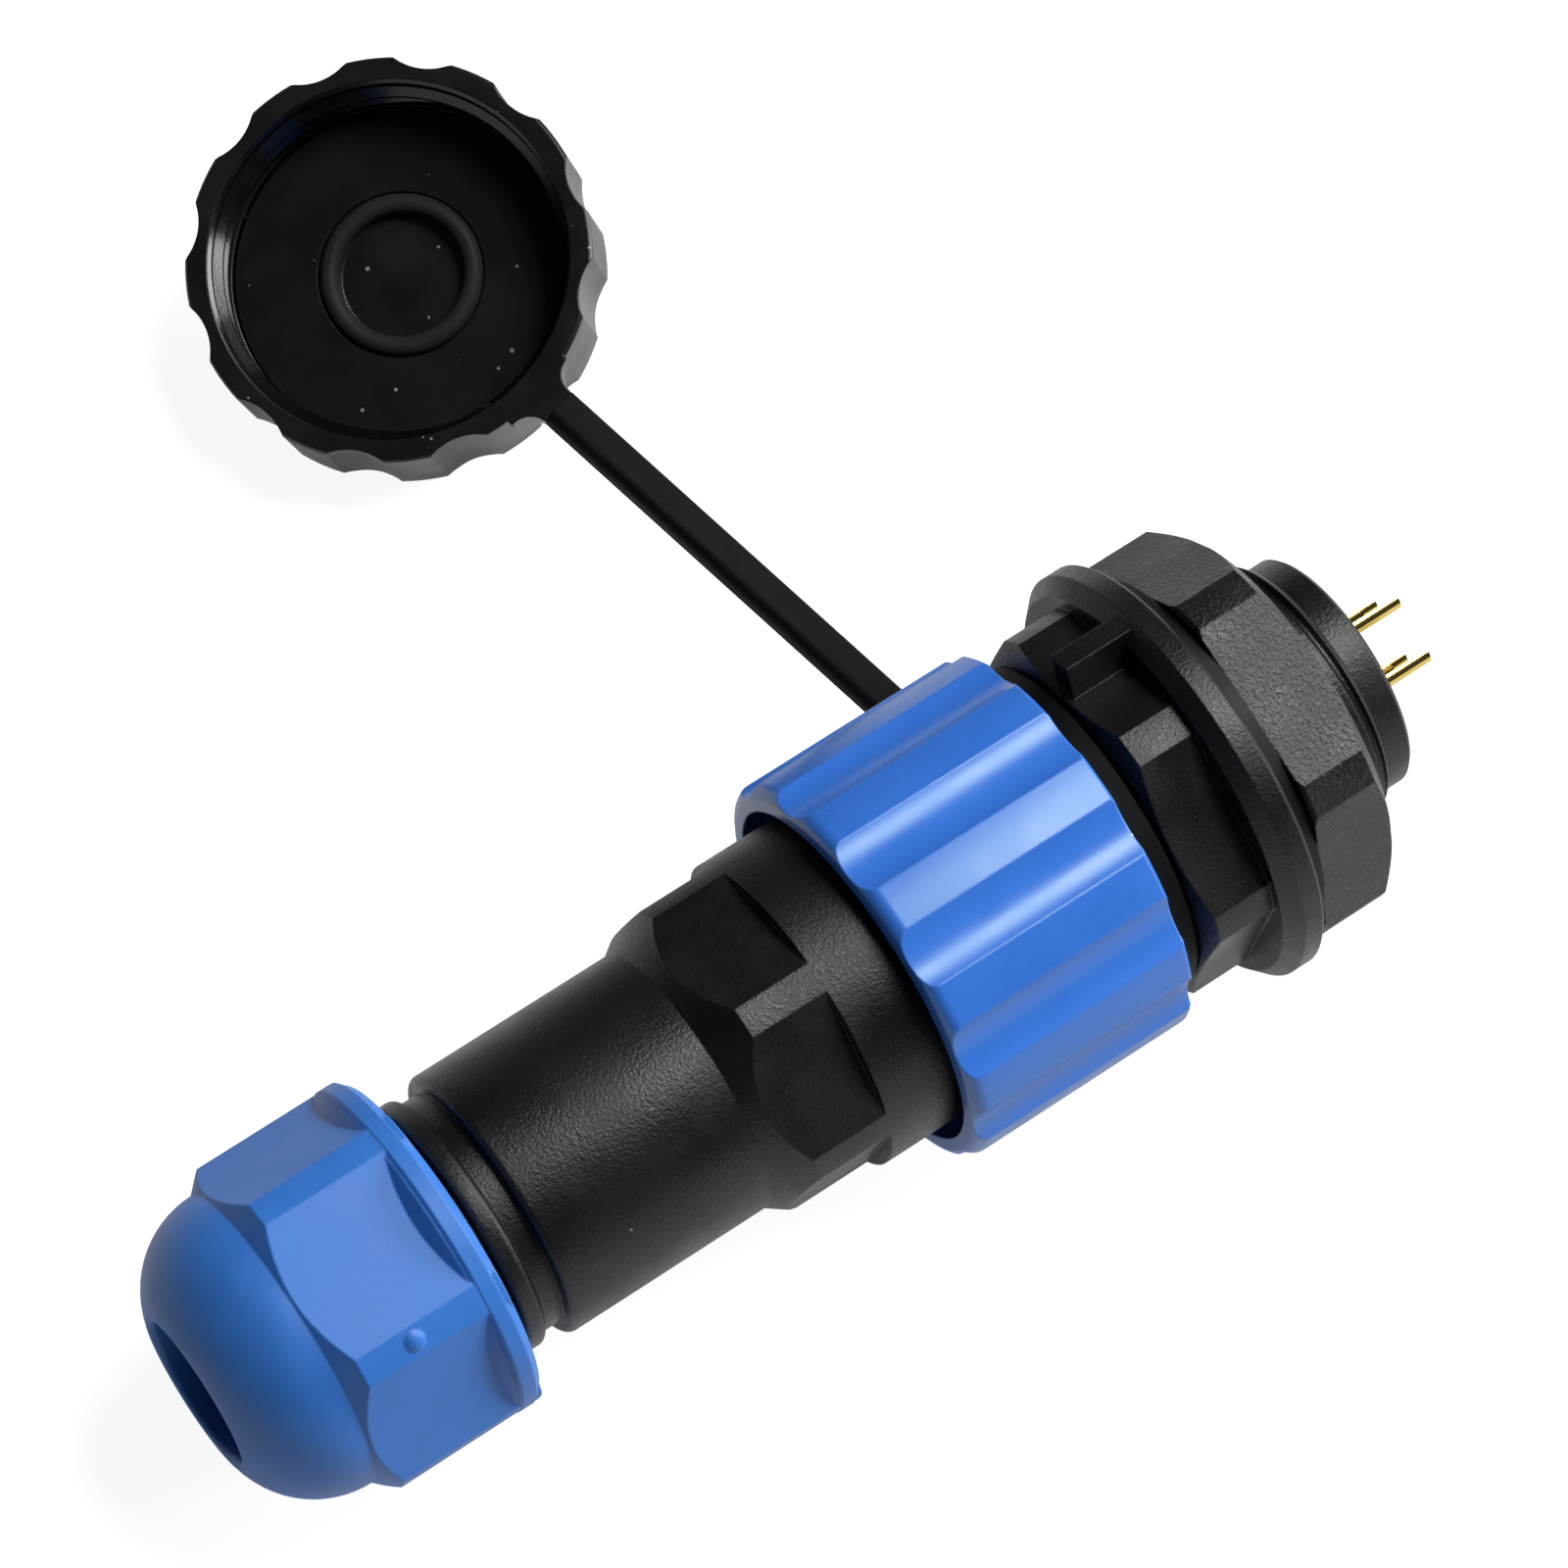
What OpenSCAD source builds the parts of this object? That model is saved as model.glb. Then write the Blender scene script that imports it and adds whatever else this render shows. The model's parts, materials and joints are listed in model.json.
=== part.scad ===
// Sealed circular connector set: a panel socket fixed by a rear nut, the cable plug that screws onto
// it with a fluted ring, and a dust cap held on a strap. Millimetres, connector axis along X,
// panel face at X = 0, plug on the -X side, solder pins on the +X side, Z up.

/* [Panel seat] */
// Radius of the round flange that covers the panel hole
flange_radius = 16.3; // [15.9:0.1:17.5]
// Thickness of the flange
flange_thickness = 2.9; // [2:0.1:3.2]
// Thickness of the flat gasket behind the flange
gasket_thickness = 1.4; // [1:0.1:2]
// Radius of the threaded shank that passes through the panel hole
shank_radius = 10.25; // [10:0.05:10.6]
// Length of the threaded shank behind the gasket
shank_length = 9.1; // [8.2:0.1:11]
// Length of the plain pilot at the end of the shank
pilot_length = 2.5; // [1.5:0.1:4]
// Size across the flats of the hexagonal collar in front of the flange
collar_across_flats = 26; // [25.6:0.1:27]
// Length of the hexagonal collar
collar_length = 5.3; // [5.2:0.1:7]
// Size across the flats of the panel nut
nut_across_flats = 27.6; // [26.4:0.1:28.6]
// Thickness of the panel nut
nut_thickness = 6.1; // [4.5:0.1:7.5]

/* [Coupling] */
// Crest radius of the front thread of the socket
front_thread_radius = 12.8; // [12.7:0.05:12.9]
// Length of the front thread of the socket
front_thread_length = 8.6; // [8:0.1:9.4]
// Radius over the lobes of the coupling ring
ring_radius = 15; // [14.9:0.1:15.6]
// Length of the coupling ring
ring_length = 18.2; // [17.4:0.1:20]
// Number of lobes on the ring and on the cap
lobe_count = 12; // [10:1:14]
// Depth of the flutes between the lobes
flute_depth = 0.75; // [0.4:0.05:0.9]

/* [Plug body] */
// Radius of the plug body under the coupling ring
body_radius = 12.1; // [11.9:0.1:12.4]
// Length of the round body that shows behind the ring
body_show_length = 5.2; // [4:0.1:7]
// Size across the wrench flats of the plug body
wrench_across_flats = 22; // [21.6:0.1:22.6]
// Length of the wrench flats
wrench_length = 6; // [4.5:0.1:8]
// Radius of the slim grip behind the flats
grip_radius = 10.2; // [10.1:0.05:10.4]
// Length of the slim grip
grip_length = 16.3; // [14:0.1:20]

/* [Cable gland] */
// Radius of the round flange of the gland nut
gland_flange_radius = 12.8; // [12.6:0.1:13.4]
// Size across the flats of the gland nut
gland_across_flats = 23.1; // [22.8:0.1:23.6]
// Overall length of the gland nut
gland_length = 19.6; // [19.2:0.1:21]
// Radius of the cable hole in the dome
gland_hole_radius = 5.5; // [5.2:0.1:5.8]
// Bore radius of the rubber cable seal
seal_bore_radius = 4.5; // [3.8:0.1:4.9]
// Gap between the gland nut and the body while the gland is loose
gland_gap = 2.5; // [2.4:0.1:3]

/* [Contacts] */
// Radius of the circle on which the contacts stand
contact_circle_radius = 3.1; // [2.9:0.1:4]
// Radius of the front pins
pin_radius = 0.6; // [0.5:0.05:0.7]
// Length of the solder cups behind the socket
cup_length = 5.8; // [4.5:0.1:7]

/* [Dust cap] */
// Radius over the lobes of the dust cap
cap_radius = 15.1; // [14.9:0.05:15.6]
// Wall of the cap from its lobes to its bore, which clears the front thread of the socket
cap_wall = 1.95; // [1.7:0.05:2.2]
// Height of the dust cap
cap_height = 9; // [8.6:0.1:11]
// Depth of the hollow of the cap
cap_depth = 7; // [6.6:0.1:7.4]
// Width of the strap
strap_width = 2.9; // [2.4:0.1:3]
// Thickness of the strap
strap_thickness = 2.2; // [1.8:0.1:2.4]
// Centre of the mouth of the cap
cap_mouth = [-23.7, 67.7, -2.5]; // [-80:0.1:80]
// Lean of the cap away from upright, degrees
cap_lean = 20.7; // [18:0.1:24]
// Compass heading of that lean, degrees from +X
cap_heading = 217.6; // [214:0.2:222]
// Angle of the strap round the axis of the cap, degrees
cap_spin = 67.1; // [63:0.1:71]

/* [Hidden] */
$fn = 96;

// Fits
thread_clearance = 0.1;
contact_clearance = 0.05;
seat_clearance = 0.02;
insert_clearance = 0.1;
nose_clearance = 0.3;
loop_clearance = 0.25;
claw_clearance = 0.2;
finger_clearance = 0.3;
axial_play = 0.3;
knuckle_clearance = 0.12;
nut_face_gap = 0.05;
seal_face_gap = 0.1;
loop_side_gap = 0.25;

// Edges, and the overlap of shapes that make up one solid
thread_chamfer = 0.5;
entry_chamfer = 0.4;
edge_break = 0.3;
fine_edge = 0.2;
join = 0.1;
cut = 1;

// Colours
black_nylon = [0.1, 0.1, 0.11];
blue_nylon = [0.22, 0.43, 0.78];
rubber = [0.05, 0.05, 0.05];
gold = [0.93, 0.8, 0.36];
insulator = [0.14, 0.14, 0.15];

// Turned positions of the lobes, flats and contacts round the axis
ring_turn = 11.5;
collar_turn = 9.8;
nut_turn = 47.5;
wrench_turn = 15;
gland_turn = 43;
contact_turn = 75;
key_turn = 0;
contact_count = 4;
flat_count = 6;
half_flat = 180 / flat_count;
corner_half_angle = 5;
lobe_share = 0.22;

// Lengths along the socket
neck_length = 2.4;
web_setback = 2.7;
web_thickness = 1.5;
insert_seal_thickness = 0.8;
insert_step = 1.2;
insert_recess = 1;
retainer_front = 3;
retainer_length = 3;
retainer_notch = 2;
pin_reach = 8.3;
pin_nose = 0.9;
pin_nose_share = 0.45;
rib_setback = 0.6;
key_setback = 1.5;

// Stations of the socket along the axis
flange_rear = -gasket_thickness;
flange_front = flange_rear - flange_thickness;
collar_front = flange_front - collar_length;
neck_front = collar_front - neck_length;
mouth = neck_front - front_thread_length;
shank_end = shank_length;
socket_end = shank_end + pilot_length;
web_front = flange_front - web_setback;
web_rear = web_front + web_thickness;
insert_flange_front = web_rear + insert_seal_thickness;
insert_rear = socket_end - insert_recess;
insert_front = web_front - insert_step;
pin_tip = insert_front - pin_reach;
cup_end = socket_end + cup_length;
rib_front = collar_front + rib_setback;

// Radii of the socket
neck_undercut = 0.9;
neck_radius = front_thread_radius - neck_undercut;
nose_radius = 10;
cavity_radius = nose_radius + nose_clearance;
web_hole_radius = 7.2;
rear_bore_radius = 8.2;
pilot_step = 1.1;
pilot_radius = shank_radius - pilot_step;
shank_chamfer = 0.6;
insert_boss_radius = web_hole_radius - insert_clearance;
insert_flange_radius = rear_bore_radius - insert_clearance;
insert_rear_radius = 6;
gasket_width = 3.95;
gasket_bore = shank_radius + thread_clearance;
gasket_radius = gasket_bore + gasket_width;
flange_chamfer = 1.1;
collar_apothem = collar_across_flats / 2;
collar_corner_radius = collar_apothem / cos(half_flat - corner_half_angle);
collar_bevel = 0.75;
collar_bevel_depth = 1.6;
rib_width = 1.9;
rib_inset = 0.35;
rib_radius = flange_radius - rib_inset;
rib_turn = collar_turn + 5 * half_flat;
nut_corner_radius = nut_across_flats / 2 / cos(half_flat - corner_half_angle);
nut_chamfer = 0.25;
nut_chamfer_depth = 0.3;
nut_rear_chamfer = 0.9;
nut_rear_chamfer_depth = 1.35;
key_width = 2;
key_depth = 1;
key_root = 0.4;

// Lengths along the plug
ring_overrun = 0.2;
interface_seal_thickness = 2;
insert_collar_length = 1.7;
lip_length = 1.8;
shoulder_length = 2.7;
groove_width = 1.6;
bead_length = 1.8;
thread_relief = 0.9;
gland_thread_length = 7.2;
nose_length = 8.5;
hub_length = 9.1;
hub_room = 0.4;
o_ring_setback = 3;

// Stations of the plug
ring_front = neck_front + ring_overrun;
ring_rear = ring_front - ring_length;
seal_front = mouth - seal_face_gap;
seal_rear = seal_front - interface_seal_thickness;
insert_collar_rear = seal_rear - insert_collar_length;
lip_front = insert_collar_rear - axial_play;
lip_rear = lip_front - lip_length;
shell_front = lip_rear - axial_play;
flats_front = ring_rear - body_show_length;
flats_rear = flats_front - wrench_length;
shoulder_rear = flats_rear - shoulder_length;
grip_rear = shoulder_rear - grip_length;
bead_front = grip_rear - groove_width;
bead_rear = bead_front - bead_length;
shell_rear = bead_front - gland_thread_length;
nose_front = mouth + nose_length;
hub_rear = shell_front - hub_length;
o_ring_station = shell_front - o_ring_setback;

// Radii of the plug
ring_body_gap = 1.1;
ring_bore_radius = body_radius + ring_body_gap;
ring_thread_radius = front_thread_radius + thread_clearance;
journal_radius = 10.6;
lip_radius = journal_radius + axial_play;
insert_collar_inset = 0.15;
insert_collar_radius = front_thread_radius - insert_collar_inset;
hub_radius = 9.4;
hub_bore_radius = hub_radius + thread_clearance;
chamber_radius = 7.6;
gland_bore_radius = 8.4;
wrench_apothem = wrench_across_flats / 2;
gland_thread_inset = 0.3;
gland_thread_radius = grip_radius - gland_thread_inset;
bead_inset = 0.5;
bead_radius = grip_radius - bead_inset;
groove_depth = 1.1;
groove_radius = grip_radius - groove_depth;
bead_round = bead_radius - groove_radius;
grip_round = 0.5;
end_round = 1.1;
o_ring_radius = 0.6;
o_ring_sink = 0.5;
o_ring_centre = hub_radius - o_ring_sink;

// Contacts of the plug
contact_radius = 1.1;
contact_bore_radius = pin_radius + contact_clearance;
contact_recess = 0.6;
contact_front = nose_front - contact_recess;
sleeve_length = 17;
contact_shoulder = contact_front - sleeve_length;
contact_tail = 5.2;
contact_cup_end = hub_rear - contact_tail;
contact_entry_room = 0.15;
pin_tip_room = 2;
cup_swell = 0.08;
cup_radius = pin_radius + cup_swell;
cup_wall = 0.24;
cup_bore_radius = cup_radius - cup_wall;
cup_depth = 3.6;
cup_open_length = 2.8;

// Gland nut
gland_front = bead_front - gland_gap;
gland_flange_length = 2;
gland_flange_rear = gland_front - gland_flange_length;
gland_flange_chamfer = 0.6;
gland_end = gland_front - gland_length;
gland_apothem = gland_across_flats / 2;
gland_corner_radius = gland_apothem / cos(half_flat - corner_half_angle);
hex_chamfer = 1.4;
hex_runout = 0.95;
dome_step = 0.15;
dome_radius = gland_apothem - dome_step;
dome_round = 7.2;
hole_round = 0.5;
dome_centre = dome_radius - dome_round;
lip_centre = gland_hole_radius + hole_round;
lip_station = gland_end + hole_round;
dome_height = sqrt(pow(dome_round - hole_round, 2) - pow(lip_centre - dome_centre, 2));
dome_start = lip_station + dome_height;
dome_sweep = atan2(dome_height, lip_centre - dome_centre);
hole_length = 1.5;
gland_thread_bore = gland_thread_radius + thread_clearance;
gland_thread_depth = 7.9;
gland_step = gland_front - gland_thread_depth;
gland_seat_length = 2.4;
gland_seat = gland_step - gland_seat_length;
gland_seat_radius = 9.1;
gland_cone_end = lip_station + hole_length;
gland_cone_slope = (gland_seat_radius - gland_hole_radius) / (gland_seat - gland_cone_end);
gate_round = 1.2;
gate_rise = 0.3;
gate_setback = 5.1;

// Clamp basket and cable seal of the gland
claw_reach = 1;
claw_tip = bead_front + claw_reach;
claw_tip_chamfer = 0.5;
claw_base_front = gland_step + claw_clearance;
claw_base_radius = gland_seat_radius - claw_clearance;
claw_radius = gland_bore_radius - finger_clearance;
claw_bore_radius = 6.95;
claw_edge = 0.15;
claw_rear = gland_seat - (claw_base_radius - claw_bore_radius - claw_edge) / gland_cone_slope;
claw_slot_count = 8;
claw_slot_width = 1;
claw_root = 1.2;
claw_slot_end = claw_base_front + claw_root;
gland_seal_radius = claw_bore_radius - insert_clearance;
gland_seal_front = claw_tip - edge_break;
snout_radius = gland_hole_radius - finger_clearance;
snout_end = gland_cone_end + 2 * finger_clearance;
seal_rib_count = 3;
seal_groove_width = 1;
seal_groove_depth = 0.4;
chamber_room = 2.3;
chamber_taper = 2.5;
taper_start = claw_tip + chamber_room;
taper_end = taper_start + chamber_taper;

// Dust cap, strap and loop
cap_bore_radius = cap_radius - cap_wall;
cap_seat_step = 0.6;
cap_seat_radius = cap_bore_radius - cap_seat_step;
cap_rib_radius = 6.15;
cap_rib_thickness = 1.5;
cap_rib_height = 1.6;
seat_over_rib = 0.1;
cap_seat_height = cap_rib_height + seat_over_rib;
cap_gasket_thickness = 1;
cap_gasket_bore = cap_rib_radius + insert_clearance;
cap_edge = 0.5;
root_length = 1.7;
root_sink = 0.5;
strap_side = -0.7;
strap_edge = 0.8;
strap_overrun = 2;
root_end = cap_radius + root_length;
loop_bore_radius = neck_radius + loop_clearance;
loop_wall = 0.75;
loop_radius = loop_bore_radius + loop_wall;
loop_front = ring_front + loop_side_gap;
loop_thickness = 1.6;
loop_middle = loop_front + loop_thickness / 2;
loop_rise = 7;
tab_drop = 0.2;
tab_offset = loop_radius + tab_drop;
tab_length = 10.6;
knuckle_radius = strap_width / 2;
tab_foot = tab_offset * [sin(loop_rise), -cos(loop_rise)];
knuckle = [loop_middle, tab_foot.x + tab_length * cos(loop_rise),
    tab_foot.y + tab_length * sin(loop_rise)];

// Turns a vector about the Z axis
function turn_z(v, a) = [v.x * cos(a) - v.y * sin(a), v.x * sin(a) + v.y * cos(a), v.z];

// Turns a vector about the Y axis
function turn_y(v, a) = [v.x * cos(a) + v.z * sin(a), v.y, v.z * cos(a) - v.x * sin(a)];

// Place in the part of a point given in the frame of the cap
function from_cap(v) = cap_mouth + turn_z(turn_y(turn_z(v, cap_spin), cap_lean), cap_heading);

// Points of an arc round a centre given by its radius and station, swept toward lower stations
function arc(count, round, centre, station, from, to) =
    [for (i = [0 : count], a = from + (to - from) * i / count)
        [centre + round * cos(a), station - round * sin(a)]];

strap_tip = from_cap([root_end, strap_side, -strap_thickness / 2]);
strap_run = strap_tip - knuckle;
strap_length = norm(strap_run);

// Lays a solid built along local Z on the connector axis
module on_axis() {
    rotate([0, 90, 0])
        children();
}

// Solid of revolution from a list of radius and station pairs
module turned(profile) {
    rotate_extrude()
        polygon(profile);
}

// Plain tube between two stations
module tube(outer, inner, from, to) {
    translate([0, 0, from])
        difference() {
            cylinder(r = outer, h = to - from);
            translate([0, 0, -cut])
                cylinder(r = inner, h = to - from + 2 * cut);
        }
}

// Disc between two stations
module disc(radius, from, to) {
    translate([0, 0, from])
        cylinder(r = radius, h = to - from);
}

// Hexagonal prism between two stations, one corner at the turned position
module hexagon(apothem, turn, from, to) {
    translate([0, 0, from])
        rotate([0, 0, turn])
            cylinder(r = apothem / cos(half_flat), h = to - from, $fn = flat_count);
}

// Lobed prism: flat lobes with round flutes between them
module lobed(radius, turn, from, to) {
    lobe_step = 360 / lobe_count;
    lobe_half = lobe_step * lobe_share;
    flute_half = lobe_step / 2 - lobe_half;
    chord = 2 * radius * sin(flute_half);
    sag = flute_depth - radius * (1 - cos(flute_half));
    flute_radius = (chord * chord / 4 + sag * sag) / (2 * sag);
    flute_centre = radius * cos(flute_half) + flute_radius - sag;
    difference() {
        disc(radius, from, to);
        for (i = [0 : lobe_count - 1])
            rotate([0, 0, turn + lobe_step * (i + 0.5)])
                translate([flute_centre, 0, from - cut])
                    cylinder(r = flute_radius, h = to - from + 2 * cut);
    }
}

// Runs its children once for each contact position
module at_contact(index) {
    rotate([0, 0, contact_turn + index * 360 / contact_count])
        translate([contact_circle_radius, 0, 0])
            children();
}

// Rounded and chamfered outline of the socket as one turned blank
module socket_blank() {
    turned([[0, mouth], [front_thread_radius - thread_chamfer, mouth],
        [front_thread_radius, mouth + thread_chamfer],
        [front_thread_radius, neck_front - entry_chamfer],
        [front_thread_radius - entry_chamfer, neck_front],
        [neck_radius, neck_front], [neck_radius, flange_front + join],
        [shank_radius, flange_rear - join], [shank_radius, shank_end - shank_chamfer],
        [shank_radius - shank_chamfer, shank_end], [pilot_radius, shank_end],
        [pilot_radius, socket_end - edge_break], [pilot_radius - edge_break, socket_end],
        [0, socket_end]]);
}

// Round flange with a wide chamfer toward the plug
module flange_disc() {
    turned([[0, flange_front], [flange_radius - flange_chamfer, flange_front],
        [flange_radius, flange_front + flange_chamfer], [flange_radius, flange_rear - edge_break],
        [flange_radius - edge_break, flange_rear], [0, flange_rear]]);
}

// Hexagonal collar with cropped corners, a front chamfer and one index rib
module collar() {
    intersection() {
        hexagon(collar_apothem, collar_turn, collar_front, flange_front + cut);
        turned([[0, collar_front], [collar_corner_radius - collar_bevel_depth, collar_front],
            [collar_corner_radius, collar_front + collar_bevel],
            [collar_corner_radius, flange_front + cut], [0, flange_front + cut]]);
    }
    rotate([0, 0, rib_turn])
        translate([collar_apothem - cut, -rib_width / 2, rib_front])
            cube([rib_radius - collar_apothem + cut, rib_width,
                flange_front + flange_chamfer - rib_front]);
}

module socket_shell() {
    color(black_nylon)
        on_axis()
            union() {
                difference() {
                    union() {
                        socket_blank();
                        flange_disc();
                        collar();
                    }
                    disc(cavity_radius, mouth - cut, web_front);
                    disc(web_hole_radius, web_front - cut, web_rear + cut);
                    disc(rear_bore_radius, web_rear, socket_end + cut);
                }
                rotate([0, 0, key_turn])
                    translate([cavity_radius - key_depth, -key_width / 2, mouth + key_setback])
                        cube([key_depth + key_root, key_width, web_front - mouth - key_setback + join]);
            }
}

module socket_insert() {
    color(insulator)
        on_axis()
            difference() {
                union() {
                    disc(insert_boss_radius, insert_front, insert_flange_front + join);
                    disc(insert_flange_radius, insert_flange_front, retainer_front);
                    disc(insert_rear_radius, retainer_front - join, insert_rear);
                }
                for (i = [0 : contact_count - 1])
                    at_contact(i)
                        disc(cup_radius + seat_clearance, insert_front - cut, insert_rear + cut);
            }
}

module insert_seal() {
    color(rubber)
        on_axis()
            tube(insert_flange_radius, web_hole_radius, web_rear, insert_flange_front);
}

module insert_retainer() {
    retainer_rear = retainer_front + retainer_length;
    color(black_nylon)
        on_axis()
            difference() {
                tube(insert_flange_radius, insert_rear_radius + seat_clearance, retainer_front,
                    retainer_rear);
                for (side = [0, 180])
                    rotate([0, 0, side])
                        translate([insert_rear_radius, -retainer_notch / 2,
                            retainer_rear - retainer_notch / 2])
                            cube([insert_flange_radius, retainer_notch, retainer_notch]);
            }
}

// Solder cup with its end half cut away, open end at the given station
module cup(end, side) {
    translate([0, 0, end - (side > 0 ? cup_depth : 0)])
        cylinder(r = cup_bore_radius, h = cup_depth + (side > 0 ? cut : 0));
    translate([-cup_radius - cut, 0, side > 0 ? end - cup_open_length : end - cut])
        cube([2 * cup_radius + 2 * cut, cup_radius + cut, cup_open_length + cut]);
}

// Male contact: round-nosed pin in front, solder cup behind
module socket_pin(index) {
    color(gold)
        on_axis()
            at_contact(index)
                difference() {
                    turned([[0, pin_tip], [pin_radius * pin_nose_share, pin_tip],
                        [pin_radius, pin_tip + pin_nose], [pin_radius, insert_front],
                        [cup_radius, insert_front], [cup_radius, cup_end], [0, cup_end]]);
                    rotate([0, 0, -contact_turn - index * 360 / contact_count])
                        cup(cup_end, 1);
                }
}

module panel_gasket() {
    color(rubber)
        on_axis()
            tube(gasket_radius, gasket_bore, flange_rear, 0);
}

module panel_nut() {
    nut_front = nut_face_gap;
    nut_rear = nut_front + nut_thickness;
    color(black_nylon)
        on_axis()
            difference() {
                intersection() {
                    hexagon(nut_across_flats / 2, nut_turn, nut_front, nut_rear);
                    turned([[0, nut_front], [nut_corner_radius - nut_chamfer_depth, nut_front],
                        [nut_corner_radius, nut_front + nut_chamfer],
                        [nut_corner_radius, nut_rear - nut_rear_chamfer],
                        [nut_corner_radius - nut_rear_chamfer_depth, nut_rear], [0, nut_rear]]);
                }
                disc(shank_radius + thread_clearance, nut_front - cut, nut_rear + cut);
            }
}

// Outline of the plug shell: round front, wrench flats, slim grip, round bead and gland thread
module plug_outline() {
    disc(body_radius, flats_front, shell_front);
    intersection() {
        hexagon(wrench_apothem, wrench_turn, shoulder_rear - cut, flats_front + join);
        turned([[0, shoulder_rear], [grip_radius, shoulder_rear], [body_radius, flats_rear],
            [body_radius, flats_front + join], [0, flats_front + join]]);
    }
    turned(concat([[0, shell_rear], [gland_thread_radius - thread_chamfer, shell_rear],
        [gland_thread_radius, shell_rear + thread_chamfer],
        [gland_thread_radius, bead_rear - thread_relief],
        [groove_radius, bead_rear - thread_relief]],
        arc(8, bead_round, groove_radius, bead_rear + bead_round, 90, 0),
        arc(8, bead_round, groove_radius, bead_front - bead_round, 0, -90),
        [[groove_radius, grip_rear]],
        arc(6, grip_round, grip_radius - grip_round, grip_rear + grip_round, 90, 0),
        [[grip_radius, shoulder_rear + cut], [0, shoulder_rear + cut]]));
}

module plug_shell() {
    color(black_nylon)
        on_axis()
            difference() {
                plug_outline();
                turned([[0, shell_rear - cut], [gland_bore_radius, shell_rear - cut],
                    [gland_bore_radius, taper_start], [chamber_radius, taper_end],
                    [chamber_radius, hub_rear - hub_room], [hub_bore_radius, hub_rear - hub_room],
                    [hub_bore_radius, shell_front + cut], [0, shell_front + cut]]);
            }
}

module plug_insert() {
    color(insulator)
        on_axis()
            difference() {
                turned([[0, hub_rear], [hub_radius, hub_rear],
                    [hub_radius, o_ring_station - o_ring_radius],
                    [o_ring_centre - o_ring_radius, o_ring_station - o_ring_radius],
                    [o_ring_centre - o_ring_radius, o_ring_station + o_ring_radius],
                    [hub_radius, o_ring_station + o_ring_radius], [hub_radius, shell_front],
                    [journal_radius, shell_front], [journal_radius, insert_collar_rear],
                    [insert_collar_radius, insert_collar_rear], [insert_collar_radius, seal_rear],
                    [nose_radius, seal_rear], [nose_radius, nose_front - thread_chamfer],
                    [nose_radius - thread_chamfer, nose_front], [0, nose_front]]);
                for (i = [0 : contact_count - 1])
                    at_contact(i) {
                        disc(cup_radius + seat_clearance, hub_rear - cut, contact_shoulder + cut);
                        disc(contact_radius + seat_clearance, contact_shoulder,
                            contact_front + seat_clearance);
                        disc(pin_radius + contact_entry_room, contact_front, nose_front + cut);
                    }
                rotate([0, 0, key_turn])
                    translate([cavity_radius - key_depth - nose_clearance,
                        -key_width / 2 - nose_clearance, mouth])
                        cube([key_depth + cut, key_width + 2 * nose_clearance, nose_length + cut]);
            }
}

module hub_o_ring() {
    color(rubber)
        on_axis()
            rotate_extrude()
                translate([o_ring_centre, o_ring_station])
                    circle(r = o_ring_radius - seat_clearance);
}

module interface_seal() {
    color(rubber)
        on_axis()
            tube(insert_collar_radius - insert_clearance, nose_radius + seat_clearance, seal_rear,
                seal_front);
}

// Female contact: bored sleeve in front, solder cup behind
module plug_contact(index) {
    color(gold)
        on_axis()
            at_contact(index)
                difference() {
                    turned([[0, contact_cup_end], [cup_radius, contact_cup_end],
                        [cup_radius, contact_shoulder], [contact_radius, contact_shoulder],
                        [contact_radius, contact_front], [0, contact_front]]);
                    disc(contact_bore_radius, pin_tip - pin_tip_room, contact_front + cut);
                    rotate([0, 0, -contact_turn - index * 360 / contact_count])
                        cup(contact_cup_end, -1);
                }
}

module coupling_ring() {
    color(blue_nylon)
        on_axis()
            difference() {
                intersection() {
                    lobed(ring_radius, ring_turn, ring_rear, ring_front);
                    turned(concat([[0, ring_front], [ring_radius - fine_edge, ring_front],
                        [ring_radius + cut, ring_front - fine_edge - cut],
                        [ring_radius + cut, ring_rear + end_round]],
                        arc(8, end_round, ring_radius - end_round, ring_rear + end_round, 0, 90),
                        [[0, ring_rear]]));
                }
                turned([[0, ring_rear - cut], [ring_bore_radius, ring_rear - cut],
                    [ring_bore_radius, lip_rear], [lip_radius, lip_rear], [lip_radius, lip_front],
                    [ring_thread_radius, lip_front], [ring_thread_radius, ring_front - entry_chamfer],
                    [ring_thread_radius + entry_chamfer, ring_front],
                    [ring_thread_radius + entry_chamfer, ring_front + cut], [0, ring_front + cut]]);
            }
}

// Clamp basket: conical base ring with slotted fingers that reach into the shell
module gland_claw() {
    color(insulator)
        on_axis()
            difference() {
                turned([[claw_bore_radius, claw_rear], [claw_bore_radius + claw_edge, claw_rear],
                    [claw_base_radius, gland_seat], [claw_base_radius, claw_base_front],
                    [claw_radius, claw_base_front], [claw_radius, claw_tip - 2 * claw_tip_chamfer],
                    [claw_radius - claw_tip_chamfer, claw_tip], [claw_bore_radius, claw_tip]]);
                for (i = [0 : claw_slot_count - 1])
                    rotate([0, 0, i * 360 / claw_slot_count])
                        translate([0, -claw_slot_width / 2, claw_slot_end])
                            cube([claw_base_radius + cut, claw_slot_width,
                                claw_tip - claw_slot_end + cut]);
            }
}

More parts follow.
